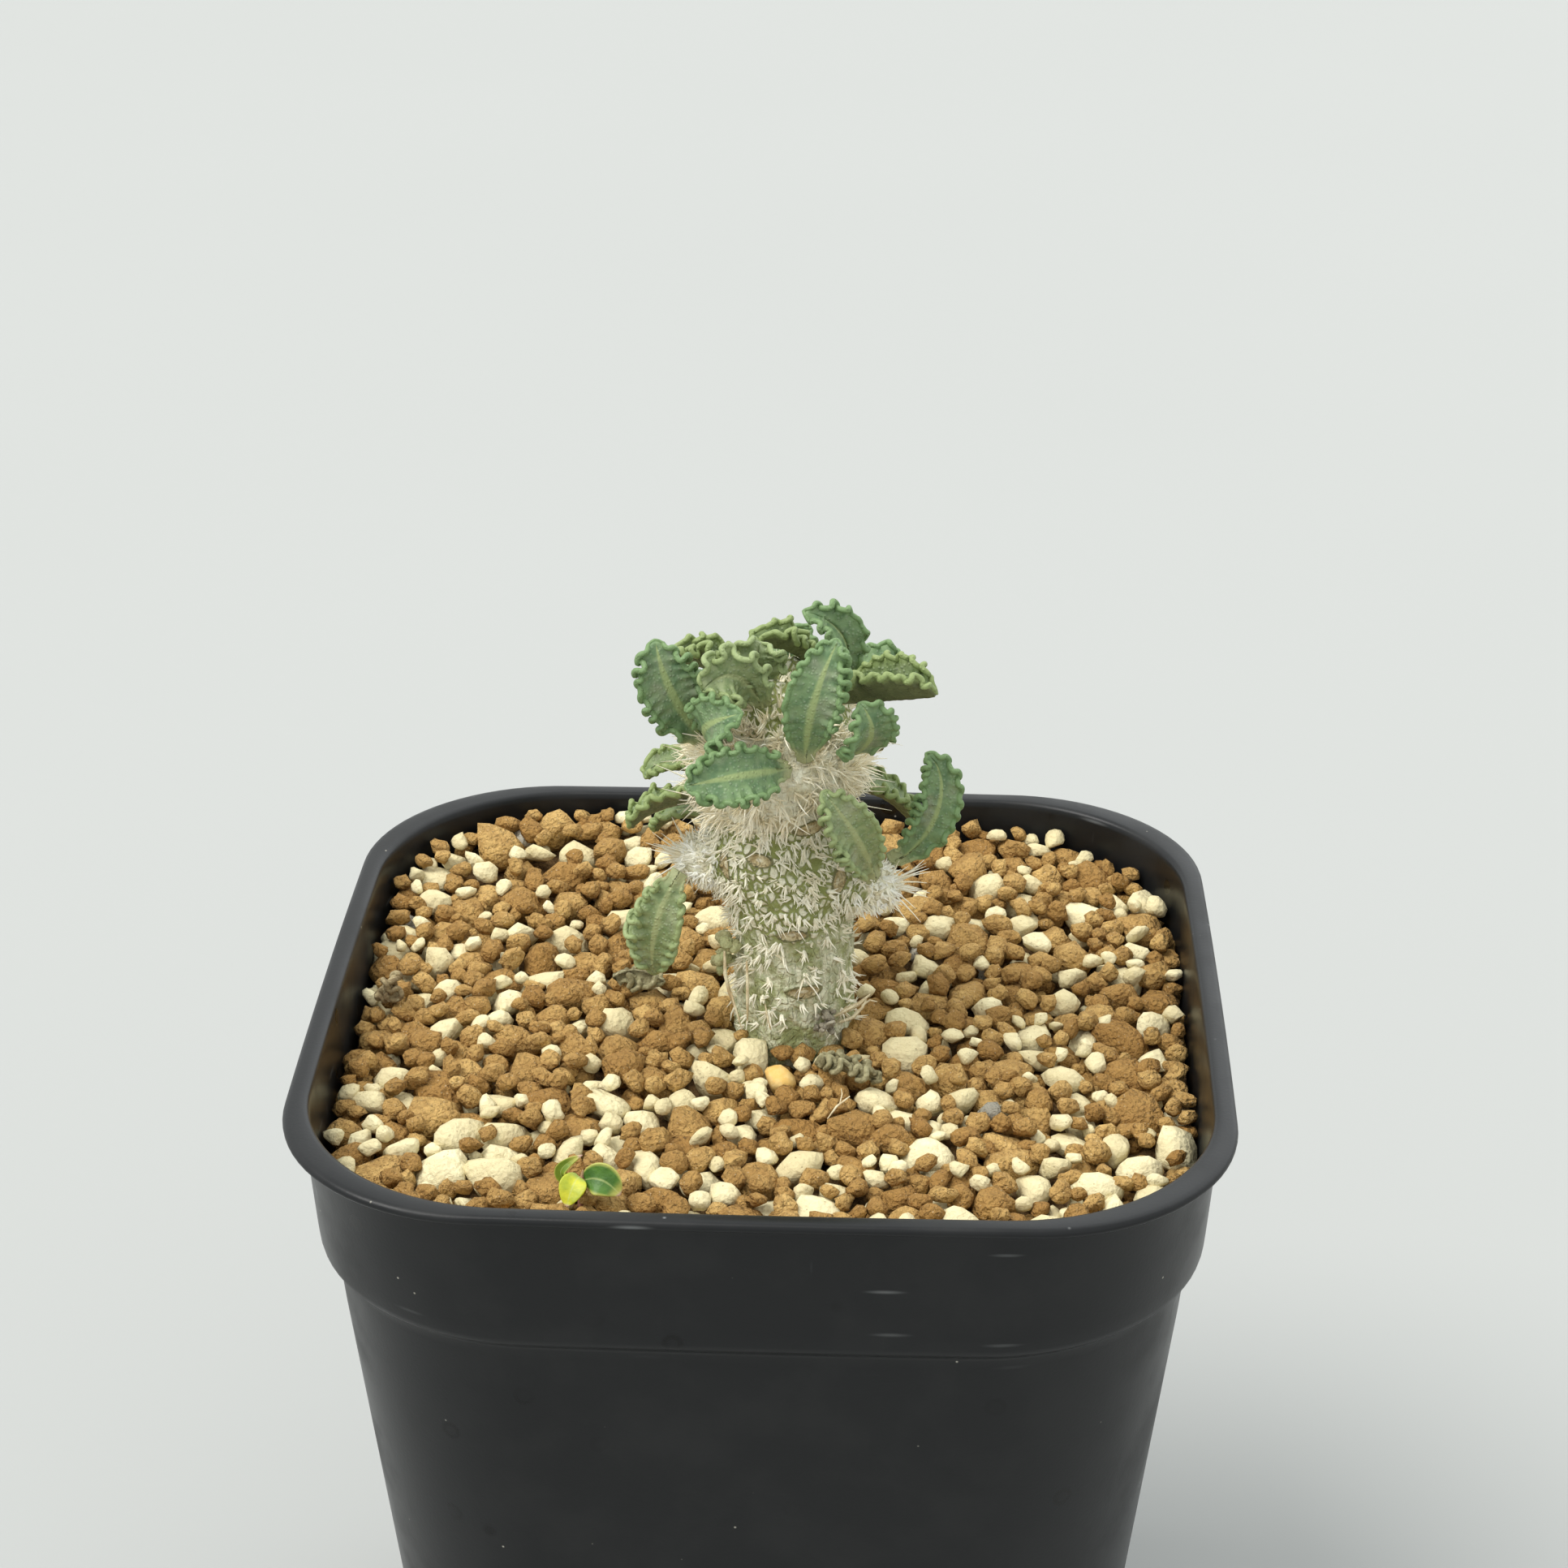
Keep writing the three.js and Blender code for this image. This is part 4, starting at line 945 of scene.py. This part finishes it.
# Leaves: thick soft blades on short stalks, dusty green above and olive below, with a broad pale midrib.
# Each margin is a round ribbon, longer than the blade, that meanders up and down.
def leaf(name, rib, width, face, fold, frill, phase, sort="mature"):
    return dict(
        name=name, rib=[PLANT + Vector(stop) for stop in rib], width=width, face=Vector(face).normalized(),
        fold=math.radians(fold), frill=frill, phase=phase, sort=sort,
    )


LEAVES = [
    leaf("leaf_left_upright", [(-7.2, -2.4, 27), (-9.9, -4, 32.2), (-11.2, -3.5, 36.5)],
         5.3, (0.25, -0.95, 0.25), 12, (0.45, 0.6), 0.4),
    leaf("leaf_left_level", [(-4.3, 0.7, 31), (-7.3, 1.5, 31.9), (-10.8, 1.2, 32.9)],
         5.2, (0.25, -0.15, 1), 63, (0.45, 0.45), 1.2, "olive"),
    leaf("leaf_top_level", [(1.4, 2.6, 31.7), (-1.2, 1.9, 33.6), (-4, 1.1, 33.9)],
         4.6, (0.1, -0.1, 1), 60, (0.4, 0.45), 2, "olive"),
    leaf("leaf_top", [(2.8, 0.6, 31.2), (3.6, -0.3, 35.3), (0.6, -0.8, 38.1)],
         4.6, (0.75, -0.55, 0.35), 34, (0.45, 0.4), 0.8),
    leaf("leaf_centre", [(1, -6.2, 27.6), (1.7, -8.5, 33.6), (3.5, -6.5, 38.1)],
         4.7, (0.05, -0.95, 0.3), 10, (0.3, 0.5), 0),
    leaf("leaf_right_level", [(3.2, -2.3, 31.1), (8, -4.6, 32.5), (11.4, -5.3, 33.1)],
         6.8, (-0.05, -0.2, 1), 62, (0.4, 0.45), 2.6, "olive"),
    leaf("leaf_right_back", [(3, 2.8, 30.8), (6.6, 4, 31.2), (9, 5, 30.3)],
         4.2, (-0.2, -0.3, 1), 35, (0.35, 0.4), 0.9),
    leaf("leaf_right_rising", [(4.1, -4, 27.2), (6.0, -7.6, 30.5), (5.3, -8.4, 33.5)],
         4.9, (0.45, -0.85, 0.25), 14, (0.5, 0.3), 1.4),
    leaf("leaf_young_outer", [(-2.4, -3.6, 30.8), (-4.5, -5.2, 34.2), (-7.2, -6, 33.3)],
         5.0, (-0.2, -0.9, 0.3), 26, (0.7, 0.6), 0.2, "young"),
    leaf("leaf_young_inner", [(-2, -1.6, 31.8), (-3.1, -2.4, 34.2), (-2.9, -1.5, 35.6)],
         4.8, (0.2, -0.8, 0.5), 30, (0.6, 0.6), 1.7, "young"),
    leaf("leaf_left_front", [(-6.2, -4, 28), (-6.6, -7.4, 30.8), (-3.9, -9.4, 32.9)],
         5, (-0.5, -0.78, 0.35), 12, (0.35, 0.5), 2.3),
    leaf("leaf_front_low", [(-0.5, -6.7, 26.8), (-4, -10.6, 28), (-8.3, -10.9, 27.1)],
         4.8, (0, -0.9, 0.45), 14, (0.45, 0.45), 0.6),
    leaf("leaf_left_small", [(-7.6, 2.2, 22.6), (-10.6, 3.2, 22.2), (-12.6, 3, 21.2)],
         4, (-0.25, -0.1, 1), 28, (0.35, 0.35), 0.3, "olive"),
    leaf("leaf_left_drooping", [(-7.2, -0.4, 21.2), (-11, -1.4, 20.8), (-13.6, -2.2, 19.1)],
         5.4, (-0.4, 0.25, 0.9), 22, (0.35, 0.35), 1.1, "olive"),
    leaf("leaf_left_under", [(-6.8, 2.4, 18.2), (-10.2, 3.8, 17.4), (-12, 4.2, 15.7)],
         3.8, (-0.5, 0.2, 0.85), 20, (0.3, 0.3), 2.2, "olive"),
    leaf("leaf_left_hanging", [(-9.4, -2.7, 15.4), (-11.3, -3.8, 11), (-11.6, -3, 5.9)],
         4.3, (-0.1, -0.98, 0.15), 12, (0.3, 0.55), 0.5, "young"),
    leaf("leaf_right_inner", [(6.5, -2.8, 15.3), (5, -6.7, 21), (2.4, -7.6, 25.3)],
         4.4, (0.4, -0.9, 0.2), 14, (0.5, 0.35), 1.5, "young"),
    leaf("leaf_right_hooked", [(8, -0.6, 15.9), (10.9, -1.6, 19.2), (11.9, -1.4, 23), (10.7, -1.2, 25.9)],
         3.9, (0.2, -0.95, 0.25), 16, (0.55, 0.3), 0.9),
    leaf("leaf_right_under", [(4.4, 2.2, 21.2), (7.4, 4.2, 19.5), (9.9, 4.6, 16.7)],
         5.2, (0.4, 0.1, 0.9), 22, (0.4, 0.4), 0, "olive"),
    leaf("leaf_back_left", [(-5.2, 3.8, 28.4), (-7.4, 6.4, 28.9), (-8.8, 8.4, 27.2)],
         4.8, (0.25, -0.3, 0.9), 30, (0.4, 0.4), 1.9),
    leaf("leaf_back_rising", [(-0.6, 5.2, 29), (-0.2, 7.2, 31.2), (0.8, 7, 33.6)],
         4.4, (0.1, -0.8, 0.5), 24, (0.4, 0.4), 0.5),
    leaf("leaf_back_right", [(3.7, 4.2, 24.6), (6, 7.4, 22.8), (6.8, 10.2, 21)],
         4.6, (-0.2, -0.1, 1), 28, (0.4, 0.4), 2.8),
    leaf("leaf_back_low", [(-2.4, 6.4, 22.8), (-3.2, 10, 23.2), (-4.4, 12.8, 21)],
         4.8, (0, 0.1, 1), 24, (0.4, 0.4), 1),
]
LEAF_ALONG = 100
LEAF_AROUND = 36
BLADE_THICKNESS = 0.42
RIB_THICKNESS = 1.1
RUFFLE_STEPS = 170
RUFFLE_AROUND = 9
RUFFLE_LENGTH = 1.08
RUFFLE_RADIUS = 0.245


def on_rib(stops, t):
    """The point on the smooth curve through evenly spaced stops."""
    last = len(stops) - 1
    spot = Vector()
    for k, stop in enumerate(stops):
        weight = 1.0
        for m in range(last + 1):
            if m != k:
                weight *= (t * last - m) / (k - m)
        spot += stop * weight
    return spot


def leaf_half(width, t):
    blade = t**0.85 * (1 - t) ** 0.78 / 0.324 if 0 < t < 1 else 0
    return max(width * blade, 1.5 * (1 - t), 0.7 * min(1, (1 - t) / 0.03)) / 2


def leaf_frame(grown, t):
    """Middle, direction, upper side, right side and half width at that share of the midrib."""
    stops = grown["rib"]
    along = (on_rib(stops, t + 0.01) - on_rib(stops, t - 0.01)).normalized()
    up = (grown["face"] - along * grown["face"].dot(along)).normalized()
    return on_rib(stops, t), along, up, along.cross(up), leaf_half(grown["width"] - 0.35, t)


def ruffle_at(grown, seed, hand, t):
    """How far the margin swings up, out and along at that share of the leaf's length."""
    length = sum((b - a).length for a, b in zip(grown["rib"], grown["rib"][1:]))
    fade = max(0.0, min(1.0, (t - 0.05) / 0.14, (1 - t) / 0.1))
    drift = noise.noise(Vector((t * 4.2, seed * 3.1, hand * 7.7)))
    phase = 2 * math.pi * length / RUFFLE_LENGTH * t + 3 * grown["phase"] + 2.1 * hand + 4.0 * drift
    uneven = 0.64 + 0.9 * noise.noise(Vector((t * 5.5 + 20, seed, hand * 5.3)))
    strength = grown["frill"][hand] * fade * uneven
    rise = strength * (1.0 * math.sin(phase) + 0.45 * math.sin(0.47 * phase + 1) + 0.3)
    out = strength * 0.85 * math.cos(phase + 0.35)
    return rise, out, strength * 0.4 * math.sin(2 * phase + 0.7)


def blade_spot(grown, seed):
    """The skin of one blade, as a function of turn, from the left margin over the top and back under."""
    shares = [step / LEAF_ALONG for step in range(LEAF_ALONG + 1)]
    frames = [leaf_frame(grown, share) for share in shares]
    ruffles = [[ruffle_at(grown, seed, hand, share) for share in shares] for hand in (0, 1)]
    fold = grown["fold"]

    def spot(turn, t):
        step = round(t * LEAF_ALONG)
        centre, along, up, side, half = frames[step]
        angle = turn * 2 * math.pi
        v = -math.cos(angle)
        size = abs(v)
        rise, out, slide = (size**3 * move for move in ruffles[0 if v < 0 else 1][step])
        rise += size * half * math.sin(fold)
        out += size * half * math.cos(fold)
        middle = centre + up * rise + side * math.copysign(out, v) + along * slide
        rib = math.exp(-((size * half / 0.55) ** 2))
        thick = BLADE_THICKNESS + (RIB_THICKNESS - BLADE_THICKNESS) * rib * (1 - 0.7 * t)
        thick *= min(1.0, (1 - t) / 0.04 + 0.25)
        bulge = math.copysign(max(0.0, abs(math.sin(angle)) - 1e-6) ** 0.5, math.sin(angle))
        tilt = (up * math.cos(fold) - side * math.copysign(math.sin(fold), v)).normalized()
        pimple = 0.06 * noise.noise(middle * 2.2) * (1 - size)
        groove = -0.07 * math.exp(-(((size * half - 0.62) / 0.22) ** 2)) if angle < math.pi else 0
        return middle + tilt * (bulge * (thick / 2 + groove) + pimple)

    return spot


def ruffle_spot(grown, seed):
    """The round ribbon that runs up the left margin, over the tip and down the right one."""
    route = []
    for hand, steps in ((0, range(RUFFLE_STEPS + 1)), (1, range(RUFFLE_STEPS - 1, -1, -1))):
        for step in steps:
            t = 0.04 + 0.96 * step / RUFFLE_STEPS
            centre, along, up, side, half = leaf_frame(grown, t)
            rise, out, slide = ruffle_at(grown, seed, hand, t)
            rise += half * math.sin(grown["fold"])
            out += half * math.cos(grown["fold"])
            route.append((centre + up * rise + side * (2 * hand - 1) * out + along * slide, up, t))

    def spot(turn, share):
        here = round(share * (len(route) - 1))
        centre, up, t = route[here]
        ahead = route[min(here + 1, len(route) - 1)][0] - route[max(here - 1, 0)][0]
        across = ahead.cross(up).normalized()
        lift = across.cross(ahead).normalized()
        round_it = RUFFLE_RADIUS * min(1.0, 0.45 + t * 3, 0.6 + (1 - t) * 4)
        angle = turn * 2 * math.pi
        return centre + (across * math.cos(angle) + lift * math.sin(angle)) * round_it

    return spot


def blade_mark(turn, t):
    """How far along and across the blade a place is, and 1 where it is on the underside."""
    angle = turn * 2 * math.pi
    return t, abs(math.cos(angle)), 1.0 if math.sin(angle) < -0.2 else 0.0


def ruffle_mark(turn, share):
    return 1 - abs(2 * share - 1), 1.0, 0.0


LEAF_SHADES = {
    "mature": dict(face=(0.17, 0.26, 0.115), deep=(0.10, 0.18, 0.08), rib=(0.30, 0.37, 0.15),
                   rim=(0.165, 0.265, 0.105), under=(0.15, 0.185, 0.075), stalk=(0.44, 0.45, 0.24)),
    "olive": dict(face=(0.19, 0.25, 0.10), deep=(0.115, 0.165, 0.06), rib=(0.33, 0.38, 0.15),
                  rim=(0.26, 0.33, 0.12), under=(0.13, 0.15, 0.06), stalk=(0.38, 0.37, 0.18)),
    "young": dict(face=(0.275, 0.33, 0.155), deep=(0.17, 0.235, 0.095), rib=(0.36, 0.40, 0.19),
                  rim=(0.29, 0.36, 0.155), under=(0.20, 0.235, 0.10), stalk=(0.44, 0.45, 0.24)),
}


def leaf_finish(sort, face, deep, rib, rim, under, stalk):
    finish, tree, shader, place = material("leaf_" + sort, 0.52, 0.4)
    blade = painted(tree, "mark")["Vector"]
    split = put(tree, "SeparateXYZ", {0: blade})
    along, across, below = split.outputs[0], split.outputs[1], split.outputs[2]
    mottle = ramp(tree, cloud(tree, place, 1.1, 4.0), 0.35, 0.68)
    shade = blend(tree, mottle, face, deep)
    pimples = flecks(tree, place, 3300.0, 0.55, 0.75)
    pale = tuple(0.5 * channel + 0.5 * top for channel, top in zip(face, (0.42, 0.50, 0.36)))
    shade = blend(tree, times(tree, pimples, 0.6), shade, pale)
    dusty = ramp(tree, cloud(tree, place, 0.33, 3.0), 0.50, 0.74)
    shade = blend(tree, times(tree, dusty, 0.4), shade, (0.34, 0.32, 0.24))
    rib_reach = grade(tree, times(tree, along, -0.24), "ADD", 0.36)
    rib_mask = ramp(tree, grade(tree, across, "DIVIDE", rib_reach), 1.0, 0.35)
    shade = blend(tree, times(tree, rib_mask, 0.85), shade, rib)
    rim_mask = ramp(tree, across, 0.72, 0.96)
    shade = blend(tree, times(tree, rim_mask, 0.85), shade, rim)
    smooth = blend(tree, mottle, under, tuple(0.75 * channel for channel in under))
    smooth = blend(tree, times(tree, rim_mask, 0.9), smooth, rim)
    shade = blend(tree, below, shade, smooth)
    base_mask = ramp(tree, along, 0.16, 0.03)
    shade = blend(tree, times(tree, base_mask, 0.8), shade, stalk)
    height = grade(tree, times(tree, pimples, 0.7), "ADD", cloud(tree, place, 2.2, 3.0))
    coat(tree, shader, shade, height, 0.09)
    return finish


leaf_finishes = {sort: leaf_finish(sort, **shades) for sort, shades in LEAF_SHADES.items()}
for seed, grown in enumerate(LEAVES):
    blade = rolled_sheet(LEAF_AROUND, LEAF_ALONG, blade_spot(grown, seed * 1.37), blade_mark)
    ruffle = rolled_sheet(RUFFLE_AROUND, 2 * RUFFLE_STEPS, ruffle_spot(grown, seed * 1.37), ruffle_mark)
    bm = join([blade, ruffle])
    piece(grown["name"] + "_blade", bm, leaf_finishes[grown["sort"]], [grown["name"]])


# Fallen leaves: two withered leaves and a crumpled scrap, dry and grey-brown, that lie on the grit with
# their ruffled margins shrunken. They dropped off the plant and were never picked up.
def lying(x, y, lift):
    """A stop of a midrib that lies on the mix."""
    return Vector((x, y, mix_top(x, y) + lift)) - PLANT


def withered_finish(name, pale, brown):
    finish, tree, shader, place = material(name, 0.85, 0.2)
    rough = crumbly(tree, place, 900.0)
    shade = blend(tree, rough[0], pale, brown)
    dots = flecks(tree, place, 2500.0, 0.5, 0.3)
    shade = blend(tree, times(tree, dots, 0.6), shade, (0.56, 0.50, 0.32))
    coat(tree, shader, shade, rough[1], 0.2)
    return finish


def curled(grown, seed):
    blade = rolled_sheet(LEAF_AROUND, LEAF_ALONG, blade_spot(grown, seed), blade_mark)
    ruffle = rolled_sheet(RUFFLE_AROUND, 2 * RUFFLE_STEPS, ruffle_spot(grown, seed), ruffle_mark)
    return join([blade, ruffle])


grey_green = withered_finish("withered_leaf", (0.36, 0.33, 0.19), (0.18, 0.155, 0.08))
dead_brown = withered_finish("dead_leaf", (0.36, 0.29, 0.16), (0.17, 0.12, 0.06))
fallen = leaf("dry_leaf_front", [lying(4.3, -5.9, 0.6), lying(6.6, -7.1, 0.9), lying(9.4, -8.3, 0.5)],
              2.0, (0.2, -0.5, 1), 38, (0.55, 0.6), 0.3)
piece("dry_leaf_front_curl", curled(fallen, 51.0), grey_green, ["dry_leaf_front"])
fallen = leaf("dry_leaf_left", [lying(-13.6, 6.2, 0.5), lying(-11.6, 6.0, 1.3), lying(-9.4, 5.8, 0.5)],
              2.6, (-0.1, -0.3, 1), -40, (0.4, 0.5), 1.1)
piece("dry_leaf_left_curl", curled(fallen, 52.0), grey_green, ["dry_leaf_left"])
fallen = leaf("dry_scrap", [lying(-33.3, 2.0, 0.3), lying(-32.6, 1.5, 1.6), lying(-32.4, 0.4, 2.0)],
              2.4, (0.8, -0.6, 0.4), 30, (0.6, 0.6), 0.7)
piece("dry_scrap", curled(fallen, 53.0), dead_brown, ())


# Loose fibres: dry strips that peel off the foot of the stem, a torn husk beside it, and a thin stick
# on the grit in front. They are flat brown plant fibre.
fibre_finish = hair_finish("dry_fibre", (0.78, 0.70, 0.48), (0.56, 0.43, 0.24), (0.36, 0.24, 0.12))
FIBRES = [
    [(-3.9, 0.4, 77.6, 0.10), (-3.8, -0.3, 75.8, 0.17), (-3.4, -0.5, 74.0, 0.15), (-2.6, -0.4, 71.6, 0.06)],
    [(-2.0, -0.5, 77.2, 0.08), (-1.9, -0.9, 75.4, 0.15), (-1.9, -1.1, 73.8, 0.14), (-1.9, -1.2, 71.9, 0.05)],
    [(-3.3, -0.6, 74.2, 0.10), (-2.9, -1.1, 73.0, 0.12), (-2.4, -1.4, 71.3, 0.05)],
    [(-0.4, -1.9, 73.9, 0.05), (-0.2, -2.2, 73.0, 0.10), (0.1, -2.3, 71.7, 0.05)],
    [(5.4, 0.2, 71.6, 0.22), (6.4, 0.5, 72.3, 0.30), (7.3, 0.9, 72.5, 0.24), (8.3, 1.5, 73.2, 0.07)],
    [(5.8, -0.2, 71.4, 0.12), (6.9, 0.1, 71.7, 0.20), (7.7, 0.3, 72.6, 0.14), (8.0, 0.6, 73.2, 0.05)],
    [(5.2, -0.3, 71.9, 0.10), (6.3, -0.3, 72.6, 0.16), (7.2, 0.2, 72.9, 0.06)],
    [(7.6, 0.9, 72.4, 0.12), (8.3, 1.0, 72.9, 0.10), (8.9, 1.1, 72.7, 0.05)],
    [(5.2, -14.6, 70.6, 0.05), (5.9, -13.2, 70.95, 0.11), (6.9, -11.7, 71.0, 0.07)],
    [(6.1, -13.0, 70.9, 0.06), (6.3, -12.0, 71.4, 0.04), (6.2, -11.3, 71.5, 0.02)],
]
lines = [[(Vector(stop[:3]), stop[3]) for stop in fibre] for fibre in FIBRES]
strands("dry_fibres", lines, fibre_finish)


# Buds and crust at the foot: one pale green and one brown bud low on the left of the stem, and a small
# grey crust of lichen against its foot in front.
def cluster(draw, kind, middle, reach, size, count):
    """Small crumbs heaped round one spot."""
    parts = []
    for _ in range(count):
        away = Vector([draw.gauss(0, 1) for _ in range(3)]) * reach
        parts.append(grain(draw, kind, middle + away, size * draw.uniform(0.6, 1.2)))
    return join(parts)


lichen_finish = grain_finish(
    "grey_lichen", (0.30, 0.27, 0.20), (0.56, 0.51, 0.39), (0.20, 0.17, 0.12), (0.04, 0.035, 0.03),
    0.5, 1500.0, 0.3,
)
bud_finish = grain_finish(
    "stem_bud", (0.40, 0.44, 0.22), (0.52, 0.50, 0.28), (0.30, 0.27, 0.12), (0.16, 0.10, 0.05),
    0.3, 1200.0, 0.15,
)
draw = random.Random(19)
bm = cluster(draw, "grey", Vector((4.7, -1.6, 72.3)), 0.42, 0.36, 20)
piece("lichen_crust", bm, lichen_finish, ())
bm = join([
    cluster(draw, "cream", Vector((-3.7, 1.2, 77.9)), 0.25, 0.62, 6),
    cluster(draw, "brown", Vector((-4.0, 1.2, 76.5)), 0.30, 0.55, 6),
])
piece("stem_buds", bm, bud_finish, ())


# Seedling: a weed that came up in the mix, with a pink stem, one yellow and one dark green seed leaf and
# a narrow young leaf behind them.
SEEDLING = Vector((-13.7, -25.0, 68.7))
SEEDLING_SIZE = 0.8
SEEDLING_LEAVES = [
    # Midrib stops from the foot, width, upper side, cup in degrees, and 1 for dark green
    ([(-0.2, -0.1, 2.9), (-0.7, -1.1, 2.4), (-1.2, -2.2, 0.9)], 2.7, (-0.1, -0.8, 0.6), 16, 0.0),
    ([(0.5, -0.1, 2.7), (2.2, -0.7, 3.0), (3.9, -1.3, 1.8)], 3.3, (0.1, -0.8, 0.6), 14, 1.0),
    ([(-0.3, 0.2, 2.0), (-1.9, 0.5, 3.2), (0.1, 0.7, 5.0)], 1.3, (-0.5, -0.8, 0.2), 30, 0.8),
]


def oval_spot(stops, width, face, cup):
    """The skin of a smooth oval seed leaf."""
    stops = [SEEDLING + Vector(stop) * SEEDLING_SIZE for stop in stops]
    face = Vector(face).normalized()

    def spot(turn, t):
        along = (on_rib(stops, t + 0.01) - on_rib(stops, t - 0.01)).normalized()
        up = (face - along * face.dot(along)).normalized()
        angle = turn * 2 * math.pi
        v = -math.cos(angle)
        half = SEEDLING_SIZE * width / 2 * max(0.05, math.sin(math.pi * min(1, 0.08 + 0.92 * t)) ** 0.62)
        lift = half * abs(v) ** 1.6 * math.sin(math.radians(cup))
        over = math.sin(angle)
        thick = 0.16 * math.copysign(abs(over) ** 0.5, over) if abs(over) > 1e-6 else 0
        return on_rib(stops, t) + along.cross(up) * half * v + up * (lift + thick)

    return spot


green_finish, tree, shader, place = material("seed_leaf", 0.45, 0.4)
blade = painted(tree, "mark")["Vector"]
split = put(tree, "SeparateXYZ", {0: blade})
along, across, dark = split.outputs[0], split.outputs[1], split.outputs[2]
patchy = ramp(tree, cloud(tree, place, 0.9, 3.0), 0.3, 0.7)
yellow = blend(tree, patchy, (0.62, 0.60, 0.03), (0.38, 0.44, 0.03))
green = blend(tree, patchy, (0.085, 0.20, 0.02), (0.045, 0.125, 0.015))
margin = grade(tree, ramp(tree, across, 0.70, 0.98), "MAXIMUM", ramp(tree, along, 0.74, 0.95))
green = blend(tree, times(tree, margin, 0.8), green, (0.55, 0.52, 0.12))
yellow = blend(tree, ramp(tree, along, 0.3, 0.0), yellow, (0.30, 0.38, 0.08))
shade = blend(tree, dark, yellow, green)
shade = blend(tree, ramp(tree, along, 0.92, 1.0), shade, (0.66, 0.42, 0.36))
veins = times(tree, ramp(tree, across, 0.10, 0.02), 0.4)
shade = blend(tree, veins, shade, (0.50, 0.55, 0.20))
coat(tree, shader, shade, cloud(tree, place, 1.8, 3.0), 0.08)

parts = []
for stops, width, face, cup, green_share in SEEDLING_LEAVES:
    mark_at = lambda turn, t, share=green_share: (t, abs(math.cos(turn * 2 * math.pi)), share)
    parts.append(rolled_sheet(28, 30, oval_spot(stops, width, face, cup), mark_at))
piece("seedling_leaves", join(parts), green_finish, ["seedling"])

pink_finish = hair_finish("seedling_stem", (0.46, 0.20, 0.16), (0.40, 0.26, 0.14), (0.30, 0.10, 0.10))
lines = [
    [(SEEDLING + Vector(spot) * SEEDLING_SIZE, radius) for spot, radius in row]
    for row in (
        [((0, 0, -0.6), 0.34), ((0.05, 0, 0.8), 0.30), ((0.1, 0, 2.2), 0.30), ((0.1, 0, 3.0), 0.20)],
        [((0.1, 0, 2.2), 0.22), ((-0.1, -0.1, 2.8), 0.2), ((-0.4, -0.5, 2.8), 0.12)],
        [((0.1, 0, 2.2), 0.22), ((0.5, -0.1, 2.7), 0.2), ((0.9, -0.2, 2.8), 0.12)],
        [((0.1, 0, 2.6), 0.18), ((0.15, 0, 3.2), 0.16), ((0.2, 0.1, 3.7), 0.05)],
    )
]
strands("seedling_stem", lines, pink_finish)
